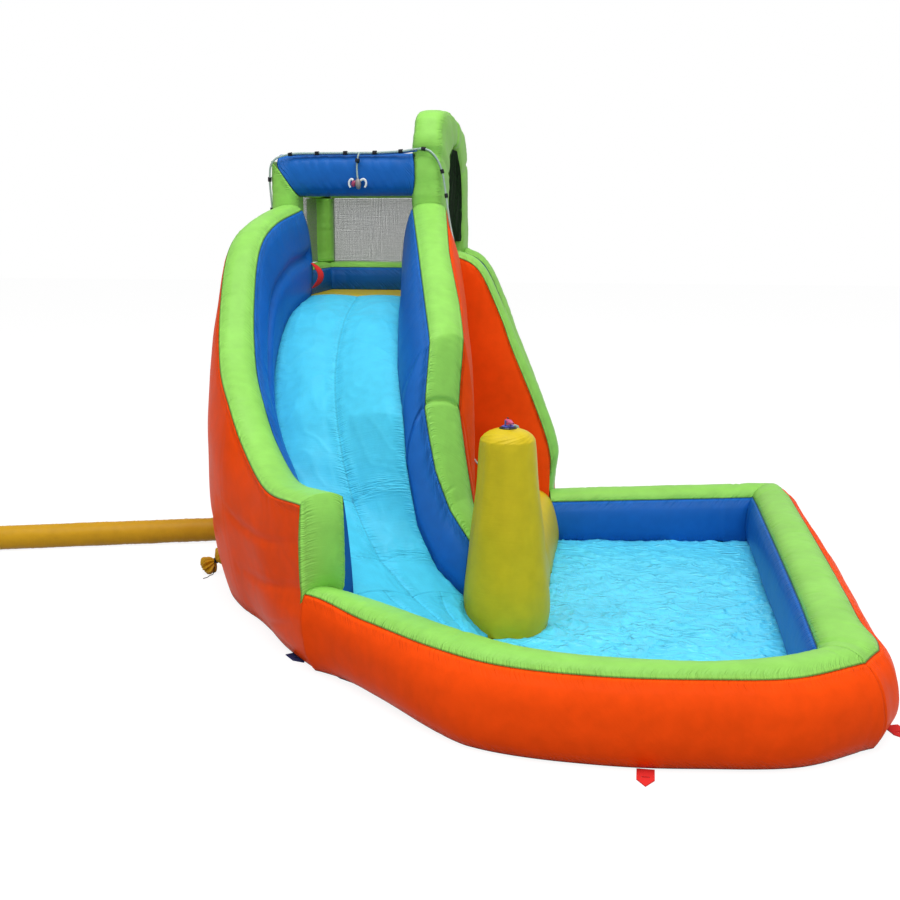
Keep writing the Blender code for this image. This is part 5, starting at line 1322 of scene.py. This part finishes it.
    def quilt(self, node, kind, corner, across, up, rise):
        """A flat panel of cloth with soft creases, swollen by the rise in its middle."""
        u, v = np.meshgrid(spread(41), spread(41), indexing="ij")
        grid = corner + u[:, :, None] * across + v[:, :, None] * up
        wave = noise_at(*np.moveaxis(grid / 0.14, 2, 0))
        height = rise * swell(u) * swell(v) + 0.0018 * wave * swell(u) * swell(v)
        obj = grid_piece(f"{node}_cloth", grid + unit(np.cross(across, up)) * height[:, :, None])
        dressed(obj, kind, node)


class WATERPARK_OT_nets(bpy.types.Operator):
    """Build the two tower nets and the hanging entrance net"""

    bl_idname = "waterpark.nets"
    bl_label = "Nets"

    def execute(self, context):
        fit = context.scene.water_park_fittings
        right, back = POSTS_LEFT + POST, TOWER_FRONT + POST_DEPTH
        up = (0, 0, BEAM_BOTTOM - POST_FOOT)
        behind = (right, BACK_POST_FRONT + POST_DEPTH / 2, POST_FOOT)
        beside = (POSTS_LEFT + POST / 2, back, POST_FOOT)
        self.net("back_net", behind, (ARCH_CENTRE - ARCH_HALF - POSTS_LEFT - POST, 0, 0), up, fit)
        self.net("left_net", beside, (0, BACK_POST_FRONT - TOWER_FRONT - POST_DEPTH, 0), up, fit)
        self.flap(fit)
        return {"FINISHED"}

    def net(self, node, corner, across, up, fit):
        """Square netting of flat cords, a little slack between the posts that it is sewn to."""
        corner, across, up = Vector(corner), Vector(across), Vector(up)
        out = across.cross(up).normalized()
        points, faces = [], []
        for way, over, layer in ((across, up, NET_LAYER), (up, across, -NET_LAYER)):
            step, lane = way.normalized(), over.normalized() * NET_CORD_HALF
            for k in range(1, round(over.length / fit.net_pitch)):
                place = over * (k * fit.net_pitch / over.length)
                first = len(points)
                for i in range(NET_STEPS + 1):
                    at = corner + place + step * (way.length * i / NET_STEPS)
                    slack = NET_SLACK * noise.noise(at * 4) + layer
                    bend = over.normalized() * (NET_BEND * noise.noise(at * 9 + out * k))
                    points += [at + bend - lane + out * slack, at + bend + lane + out * slack]
                corners = range(first, first + 2 * NET_STEPS, 2)
                faces += [(i, i + 1, i + 3, i + 2) for i in corners]
        surface = knotless_net("knotless_polyester_net", fit.net)
        register_piece(mesh_piece(f"{node}_mesh", points, faces), surface, "grey_net", [node])

    def flap(self, fit):
        """The net hung in the arch, drawn together at its top hem and falling in uneven folds."""
        rows = []
        outline = smooth(FLAP_OUTLINE, 12)
        top = outline[0][0]
        t = spread(161)
        for z, y0, y1 in outline:
            hang = min(1.0, (top - z) / FLAP_HEM)
            drift = t * 9 + 1.2 * np.sin(z * 7 + t * 3)
            fold = noise_at(drift, z * 1.6, 4.4) * 1.3 + 0.4 * noise_at(drift * 2.7, z * 5, 8.4)
            x = FLAP_X - 0.0015 + FLAP_FOLD * hang * np.clip(fold, -1, 1)
            rows.append(np.column_stack([x, y0 + (y1 - y0) * t, np.full_like(t, z)]))
        obj = grid_piece("entrance_net_mesh", np.array(rows))
        thicken(obj, NET_THICK)
        surface = knotless_net("fine_dark_net", fit.dark_net, 0.012)
        register_piece(obj, surface, "dark_net", ["entrance_net"], "entrance_flap")


class WATERPARK_OT_ramp(bpy.types.Operator):
    """Build the climbing ramp's rails, bed and webbing footholds"""

    bl_idname = "waterpark.ramp"
    bl_label = "Climbing Ramp"

    def turned(self, x):
        start = RAIL_KNOTS[0][0]
        return max(x - RAMP_TURN, start + (x - start) * RAMP_TURN_START / RAMP_TURN)

    def execute(self, context):
        line = smooth(RAIL_KNOTS, 16)
        front = [(x, RAIL_FRONT, x, RAIL_FRONT + RAIL_WIDTH, crest, foot) for x, crest, foot in line]
        far = [(self.turned(x), crest, foot) for x, crest, foot in line]
        back = [(x, RAIL_BACK, x, RAIL_BACK - RAIL_WIDTH, crest, foot) for x, crest, foot in far]
        shape = (rail_marks, RAIL_BULGES, RAIL_ROWS)
        wall("ramp_front_", front, *shape, 51.3, (1.4, 1, 1), self.broad_top)
        wall("ramp_back_", back, *shape, 57.7)
        self.bed(line)
        self.loops(line)
        return {"FINISHED"}

    def broad_top(self, grids):
        """The front rail's top swells out down the slope on its steep part, and its low end is drawn in."""
        outer, top, inner = grids
        share = held((top[:, :, 0] - 0.3) / 0.4)
        tuck = RAIL_TUCK * held((0.50 - top[:, :1, 2]) / 0.33)
        top[:, :, 0] += RAIL_SWELL * share * swell(spread(top.shape[1])) * (1 - tuck / 0.07)
        for grid, first, last in ((top, 1, 0.4), (outer, 0, 1), (inner, 0.4, 0)):
            grid[:, :, 0] -= tuck * np.linspace(first, last, grid.shape[1])

    def bed(self, line):
        low, high = RAIL_FRONT + RAIL_WIDTH + RAIL_LEAN, RAIL_BACK - RAIL_WIDTH - RAIL_LEAN
        path = [(x, foot) for x, _, foot in line]
        path += [tuple(p) for p in straight((line[-1][0], line[-1][2]), RAMP_FOOT, 6)[1:]]
        t = spread(41)
        rise = 0.02 * np.abs(np.sin(math.pi * t)) ** 0.7
        grid = []
        for x, z in path:
            grid.append(np.column_stack([x + (self.turned(x) - x) * t, low + (high - low) * t, z + rise]))
        grid = np.array(grid)
        grid[:, :, 2] += 0.003 * noise_at(grid[:, :, 1] / 0.12, grid[:, :, 2] / 0.1, grid[:, :, 0])
        obj = grid_piece("ramp_bed_cloth", grid)
        face_up(obj)
        dressed(obj, "yellow", "ramp_bed")

    def loops(self, line):
        """Webbing sewn to the bed at intervals, standing off it between as footholds."""
        bed = [(x, foot + 0.02) for x, _, foot in line][LOOP_FROM:LOOP_TO]
        steps = len(bed) - 1
        middle = (RAIL_FRONT + RAIL_BACK) / 2
        points = []
        for i, (x, z) in enumerate(bed):
            before, after = bed[max(i - 1, 0)], bed[min(i + 1, steps)]
            along = Vector((after[0] - before[0], 0, after[1] - before[1])).normalized()
            out = Vector((-along.z, 0, along.x))
            flat = 1 - 0.8 * held((i / steps - 0.7) * 12)
            rise = LOOP_RISE * flat * abs(math.sin(math.pi * LOOP_COUNT * i / steps)) + 0.005
            points.append(Vector(((x + self.turned(x)) / 2, middle, z)) + out * rise)
        sides = [Vector((0, LOOP_BAND / 2, 0))] * len(points)
        look = (strap_of("black"), "black_webbing", "climbing_loops")
        strip("climbing_loops_webbing", points, sides, LOOP_THICK, *look)


class WATERPARK_OT_column(bpy.types.Operator):
    """Build the yellow cannon column and finish the water cannon on it"""

    bl_idname = "waterpark.column"
    bl_label = "Column and Cannon"

    def execute(self, context):
        turns = np.linspace(0, 2 * math.pi, 97)[:-1]
        rings = []
        gores = [math.radians(40 + 90 * k) for k in range(4)]
        for r, z in smooth(COLUMN_PROFILE, 10):
            off = np.min([np.abs(np.angle(np.exp(1j * (turns - g)))) for g in gores], axis=0) * r
            pleat = np.abs(noise_at(z / 0.04, off / 0.2, 3.3))
            soft = noise_at(np.cos(turns) * 2.2, np.sin(turns) * 2.2, z / 0.2)
            radius = r - 0.0012 * bell(off, 0.008) + 0.004 * soft
            radius += (1.6 * pleat - 0.5) * 0.0025 * np.exp(-off / 0.05) * (1 - bell(off, 0.01))
            # puckered at the foot and where the dome begins, smooth on the dome
            foot = math.exp(-z / 0.05) + math.exp(-abs(z - 0.95) / 0.03)
            pucker = np.abs(noise_at(turns * r / 0.03, z / 0.15, 8.8))
            radius += (1.5 * pucker - 0.45) * 0.005 * foot * (z < 0.975)
            x, y = COLUMN[0] + radius * np.cos(turns), COLUMN[1] + radius * np.sin(turns)
            rings.append(np.column_stack([x, y, np.full_like(turns, z)]))
        rings = np.array(rings)
        tube_piece("cannon_column", "yellow", rings, np.full(rings.shape[:2], 0.1), hem=0.02)
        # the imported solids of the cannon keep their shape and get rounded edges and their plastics
        for part, kind in (("pad", "black"), ("trigger", "black"), ("ring", "purple"), ("barrel", "pink")):
            finish_node(f"cannon_{part}", plastic(kind), PLASTIC_EDGE)
        return {"FINISHED"}


class WATERPARK_OT_hose(bpy.types.Operator):
    """Build the sprinkler hose with its straps, spray nozzle and coupling nut"""

    bl_idname = "waterpark.hose"
    bl_label = "Sprinkler Hose"

    def execute(self, context):
        line = smooth(HOSE_ROUTE, HOSE_STEPS)
        bar("sprinkler_hose_tube", line, HOSE_RADIUS, hose_pvc(), "hose_pvc", "sprinkler_hose")
        self.tape(line, context.scene.water_park_fabric)
        self.straps(line)
        self.nozzle(Vector(line[int(HOSE_STEPS * NOZZLE_KNOT)]))
        self.nut(Vector(line[0]), Vector(line[1]))
        return {"FINISHED"}

    def way(self, line, i):
        return Vector(line[i + 1] - line[i - 1]).normalized()

    def tape(self, line, cut):
        """The tape under the hose, sewn along beam and arch, in the colour of each."""
        beam_y, beam_z = TOWER_FRONT + POST_DEPTH / 2, BEAM_TOP - POST_DEPTH / 2
        points, sides = [], []
        first, last = (HOSE_STEPS * knot for knot in TAPE_KNOTS)
        for i in range(first, last + 1):
            way, centre = self.way(line, i), Vector(line[i])
            inward = Vector((0, beam_y - centre.y, beam_z - centre.z))
            inward = (inward - way * inward.dot(way)).normalized()
            points.append(centre + inward * TAPE_OFF)
            sides.append(way.cross(inward) * TAPE_HALF)
        split = HOSE_STEPS * 5 - 4
        for name, kind, part in (("beam", "blue", slice(split + 1)), ("arch", "green", slice(split, None))):
            look = (webbing(f"{kind}_tape", getattr(cut, kind)), "black_webbing", "strap_tape")
            strip(f"strap_tape_{name}", points[part], sides[part], TAPE_THICK, *look)

    def straps(self, line):
        """Hook-and-loop straps round the hose and its tape."""
        for k, knot in enumerate(STRAP_KNOTS):
            i = HOSE_STEPS * knot
            way = self.way(line, i)
            turns = np.linspace(0, 2 * math.pi, 25)
            radii = [STRAP_RADIUS + 0.0012 * math.sin(3 * a + k) for a in turns]
            ring = ring_round(Vector(line[i]), way, radii, turns)
            look = (strap_of("black"), "black_webbing")
            strip(f"hose_strap_{k + 1}", ring, [way * STRAP_HALF] * len(ring), STRAP_THICK, *look)

    def nozzle(self, centre):
        """The mister under the hose: clip, clear drop tube and a spray head with a valve and two arms."""
        y = TOWER_FRONT - 0.016
        x, z = centre.x, centre.z
        start = centre.y - HOSE_RADIUS - 0.0003

        def part(name, rows, *look):
            bar(f"spray_nozzle_{name}", [row[:3] for row in rows], [row[3] for row in rows], *look)

        branch = [(x, start, z, 0.0045), (x, y, z - 0.006, 0.005), (x - 0.008, y, z - 0.034, 0.005)]
        part("branch", branch, hose_pvc(), "hose_pvc", "spray_nozzle")
        part("clip", [(x - a, y, z - b, r) for a, b, r in NOZZLE_CLIP], plastic("black"), "black_plastic")
        drop = smooth([(x - 0.012, y, z - 0.061), (x - 0.013, y, z - 0.10), (x - 0.010, y, z - 0.150)], 6)
        bar("spray_nozzle_tube", drop, 0.0055, hose_pvc(), "hose_pvc")
        x, z = x - 0.010, z - 0.151
        head = [(x + a, y - b, z - c, r) for a, b, c, r in NOZZLE_HEAD]
        part("head", head, plastic("grey"), "black_plastic")
        valve = [(x - a, y - 0.004, z - c, r) for a, c, r in NOZZLE_VALVE]
        part("valve", valve, plastic("dark_pink"), "pink_plastic")
        for k, side in enumerate((-1, 1)):
            knots = ((0.022 - 0.003 * side, 0.010), *NOZZLE_ARM)
            arm = smooth([(x + side * a, y - 0.001, z - b) for a, b in knots], 5)
            radii = np.linspace(0.0075, 0.006, len(arm))
            bar(f"spray_nozzle_arm_{k + 1}", arm, radii, plastic("white"), "black_plastic")

    def nut(self, end, before):
        """The swivel nut at the hose's end, ribbed round its grip."""
        way = (end - before).normalized()
        middle = end + way * 0.003
        count = 72
        turns = 2 * math.pi * np.arange(count) / count
        points = []
        for r, h in NUT_PROFILE:
            radii = [r - 0.0008 * (i % 6 < 3) * (r > 0.015) for i in range(count)]
            points += ring_round(middle + way * h, way, radii, turns)
        rows = len(points) // count
        faces = grid_faces(rows, count, wrap=True)
        last = (rows - 1) * count
        faces += [(last + i, last + (i + 1) % count, (i + 1) % count, i) for i in range(count)]
        obj = mesh_piece("hose_coupling_nut", points, faces, np.zeros((len(points), 2)))
        obj.data.shade_flat()
        register_piece(obj, plastic("black"), "black_plastic", ["hose_coupling"], "hose_nut")


class WATERPARK_OT_fittings(bpy.types.Operator):
    """Build the grab handle, anchor tabs, inflation duct, deflation sleeve and ground sheet"""

    bl_idname = "waterpark.fittings"
    bl_label = "Fittings"

    def execute(self, context):
        self.handle()
        # webbing tabs with a slot for a stake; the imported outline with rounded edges
        for side in ("front", "right"):
            finish_node(f"{side}_anchor_tab", strap_of("red"), WEBBING_EDGE)
        navy = webbing("navy_webbing", context.scene.water_park_fabric.navy)
        finish_node("left_anchor_tab", navy, WEBBING_EDGE)
        self.duct()
        self.sleeve()
        self.ground()
        return {"FINISHED"}

    def handle(self):
        """Red webbing sewn on at both ends and bowed off the slide wall between."""
        low, high = DECK + 0.05, DECK + 0.20
        y = TOWER_FRONT - 0.045 + 0.016
        face = SLIDE_LEFT_KNOTS[0][2] + 0.0588
        points, sides = [], []
        for t in spread(33):
            bow = math.sin(math.pi * t)
            points.append(Vector((face + 0.0015 + 0.055 * bow**0.8, y, low + (high - low) * t)))
            twist = math.radians(58) * min(bow * 1.6, 1)
            sides.append(Vector((math.sin(twist), math.cos(twist), 0)) * 0.0185)
        look = (strap_of("red"), "red_webbing", "grab_handle")
        strip("grab_handle_webbing", points, sides, HANDLE_THICK, *look)

    def duct(self):
        """The inflation duct, lying on the ground, with its long seam and small wrinkles."""
        start, end = np.array([*DUCT_START, 0.0]), np.array([*DUCT_END, 0.0])
        way, metres = unit(end - start), np.linalg.norm(end - start)
        side = np.cross(way, (0, 0, 1))
        axis = DUCT_RADIUS * 0.981
        turns = np.linspace(0, 2 * math.pi, 49)[:-1]
        c, s = np.cos(turns), np.sin(turns)
        rings = []
        for t in spread(150):
            girth = float(np.interp(t, (0, 0.08, 0.96, 1), (0.88, 1, 1, 0.96)))
            run = t * metres
            ripple = np.abs(noise_at(run / 0.022, s, c))
            wrinkle = 0.0035 * (1 - 2 * ripple).clip(0) * (0.4 + 0.9 * math.exp(-run / 0.35))
            radius = DUCT_RADIUS * girth - wrinkle + 0.002 * noise_at(run / 0.12, s * 1.5, c * 1.5)
            z = np.maximum(s * radius, -axis + 0.0005) + axis
            rings.append(start + way * run + side * (c * radius)[:, None] + np.outer(z, (0, 0, 1)))
        seam = np.abs(np.angle(np.exp(1j * (turns - math.radians(60))))) * DUCT_RADIUS
        near = np.tile(seam, (len(rings), 1))
        tube_piece("inflation_duct", "amber", np.array(rings), near, slot="yellow")

    def sleeve(self):
        """The deflation sleeve, gathered at its neck and ruffled at its end, with its tie cord."""
        droop, turn = Matrix.Rotation(-SLEEVE_DROOP, 4, "Y"), Matrix.Rotation(SLEEVE_TURN, 4, "Z")
        place = Matrix.Translation(SLEEVE) @ turn @ droop
        turns = np.linspace(0, 2 * math.pi, 97)[:-1]
        rings = []
        for r, h in smooth(SLEEVE_PROFILE, 8):
            fold = 0.16 * np.sin(11 * turns + 0.6 * np.sin(turns)) * (0.3 + min(h / 0.1, 1))
            fold += 0.12 * np.sin(5 * turns + h * 60)
            radius = r * (0.9 + fold * min(h / 0.02, 1))
            ring = [place @ Vector((q * math.cos(a), q * math.sin(a), h)) for q, a in zip(radius, turns)]
            rings.append([tuple(p) for p in ring])
        rings = np.array(rings)
        near = np.full(rings.shape[:2], 0.1)
        tube_piece("deflation_sleeve", "amber", rings, near, hem=0.01, slot="yellow")
        self.tie(place, strap_of("black"))

    def tie(self, place, surface):
        """The cord, wound twice round the neck and knotted; its end hangs to the ground."""
        last = TIE_START + 360 * TIE_TURNS
        turns = np.linspace(math.radians(TIE_START), math.radians(last), TIE_STEPS + 1)
        wraps = []
        for k, a in enumerate(turns):
            height = TIE_HEIGHT + TIE_RISE * k / TIE_STEPS
            wraps.append(place @ Vector((TIE_RADIUS * math.cos(a), TIE_RADIUS * math.sin(a), height)))
        start, ground = wraps[-1], CORD_LIES
        knot = [tuple(start + Vector(p)) for p in TIE_KNOT]
        falls = (start.z - 0.016, start.z - 0.04, ground + 0.012, ground + 0.001, ground, ground, ground)
        hang = [(start.x - a, start.y - b, z) for (a, b), z in zip(TIE_HANG, falls)]
        free = smooth([knot[-1], *hang], 8)
        wound = [tuple(p) for p in (*wraps, *smooth([tuple(start), *knot], 6)[1:])]
        bar("sleeve_tie_knot", wound, CORD_RADIUS, surface, "black_webbing")
        cord = bar("sleeve_tie_cord", free, CORD_RADIUS, surface, "black_webbing")

    def ground(self):
        """The ground sheet, as packed, drawn in a little under the walls."""
        node = frame["nodes"]["base_sheet"]
        copy = node.copy()
        copy.data = node.data.copy()
        copy.name = copy.data.name = "ground_sheet"
        copy.parent = None
        corners = [copy.matrix_world @ v.co for v in copy.data.vertices]
        middle = sum(corners, Vector()) / len(corners)
        flat = Matrix.Translation(middle) @ Matrix.Diagonal((GROUND_SHARE, GROUND_SHARE, 1, 1))
        flat = flat @ Matrix.Translation(-middle)
        copy.data.transform(copy.matrix_world.inverted() @ flat @ copy.matrix_world)
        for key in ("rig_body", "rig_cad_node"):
            if key in copy:
                del copy[key]
        bpy.context.scene.collection.objects.link(copy)
        dressed(copy, "navy", "base_sheet")


@material
def seamless_paper(tree):
    """Seamless white paper: matt, white to the camera and in reflections, and it keeps the shadow."""
    path = add_node(tree, "ShaderNodeLightPath").outputs
    seen = reckoned(tree, "MAXIMUM", path["Is Camera Ray"], path["Is Glossy Ray"])
    # the paper throws less light back on the object than it shows
    tone = ranged(tree, seen, 0, 1, 0.45, 0.93)
    shader = shaded(tree, Base_Color=tone, Roughness=0.9, Specular_IOR_Level=0.1)
    light = add_node(tree, "ShaderNodeEmission", {"Strength": 1.1})
    ends = {0: reckoned(tree, "MULTIPLY", seen, 0.8), 1: shader.outputs[0], 2: light.outputs[0]}
    mix = add_node(tree, "ShaderNodeMixShader", ends)
    tree.links.new(mix.outputs[0], tree.nodes["Material Output"].inputs["Surface"])


class WATERPARK_OT_stage(bpy.types.Operator):
    """Set up the pale floor, the soft studio light and the camera at the photograph's place"""

    bl_idname = "waterpark.stage"
    bl_label = "Stage"

    def execute(self, context):
        scene = context.scene
        scene.view_settings.view_transform = "Standard"
        corners = [(x * STAGE_HALF, y * STAGE_HALF, 0) for x, y in ((-1, -1), (1, -1), (1, 1), (-1, 1))]
        floor = mesh_piece("studio_floor", corners, [(0, 1, 2, 3)])
        floor.data.materials.append(seamless_paper("seamless_paper"))
        self.world(scene)
        for name, settings in LAMPS.items():
            self.lamp(name, *settings)
        camera = linked("camera", bpy.data.cameras.new("camera"))
        camera.location = VIEW_PLACE
        camera.rotation_euler = [math.radians(turn) for turn in VIEW_TURN]
        camera.data.lens, camera.data.sensor_width = VIEW_LENS, VIEW_SENSOR
        scene.camera = camera
        return {"FINISHED"}

    def world(self, scene):
        """Even light from all round, brighter where the camera sees it."""
        scene.world = bpy.data.worlds.new("studio")
        scene.world.use_nodes = True
        tree = scene.world.node_tree
        dim = tree.nodes["Background"]
        bright = add_node(tree, "ShaderNodeBackground", {"Strength": WORLD_SEEN})
        dim.inputs["Strength"].default_value = WORLD_LIGHT
        for node in (dim, bright):
            node.inputs["Color"].default_value = (1, 1, 1, 1)
        seen = add_node(tree, "ShaderNodeLightPath").outputs["Is Camera Ray"]
        mix = add_node(tree, "ShaderNodeMixShader", {0: seen, 1: dim.outputs[0], 2: bright.outputs[0]})
        tree.links.new(mix.outputs[0], tree.nodes["World Output"].inputs["Surface"])

    def lamp(self, name, place, target, size, watts):
        light = bpy.data.lights.new(name, "AREA")
        light.shape, light.size, light.energy = "DISK", size, watts
        obj = linked(name, light)
        obj.location = place
        obj.rotation_euler = (Vector(target) - Vector(place)).to_track_quat("-Z", "Y").to_euler()


BUILDERS = (
    WATERPARK_OT_pool,
    WATERPARK_OT_slide,
    WATERPARK_OT_tower,
    WATERPARK_OT_nets,
    WATERPARK_OT_ramp,
    WATERPARK_OT_column,
    WATERPARK_OT_hose,
    WATERPARK_OT_fittings,
    WATERPARK_OT_stage,
)


class WATERPARK_PT_panel(bpy.types.Panel):
    """Lists the builders and their settings"""

    bl_label = "Inflatable Water Park"
    bl_idname = "WATERPARK_PT_panel"
    bl_space_type = "VIEW_3D"
    bl_region_type = "UI"
    bl_category = "Water Park"

    def draw(self, context):
        for group in (context.scene.water_park_fabric, context.scene.water_park_fittings):
            box = self.layout.box()
            for key in group.__annotations__:
                box.prop(group, key)
        for builder in BUILDERS:
            self.layout.operator(builder.bl_idname)


CLASSES = (WaterParkFabric, WaterParkFittings, *BUILDERS, WATERPARK_PT_panel)


def register():
    for cls in CLASSES:
        bpy.utils.register_class(cls)
    bpy.types.Scene.water_park_fabric = bpy.props.PointerProperty(type=WaterParkFabric)
    bpy.types.Scene.water_park_fittings = bpy.props.PointerProperty(type=WaterParkFittings)


def unregister():
    del bpy.types.Scene.water_park_fittings
    del bpy.types.Scene.water_park_fabric
    for cls in reversed(CLASSES):
        bpy.utils.unregister_class(cls)


def main():
    register()
    for builder in BUILDERS:
        group, name = builder.bl_idname.split(".")
        getattr(getattr(bpy.ops, group), name)()


if __name__ == "__main__":
    main()
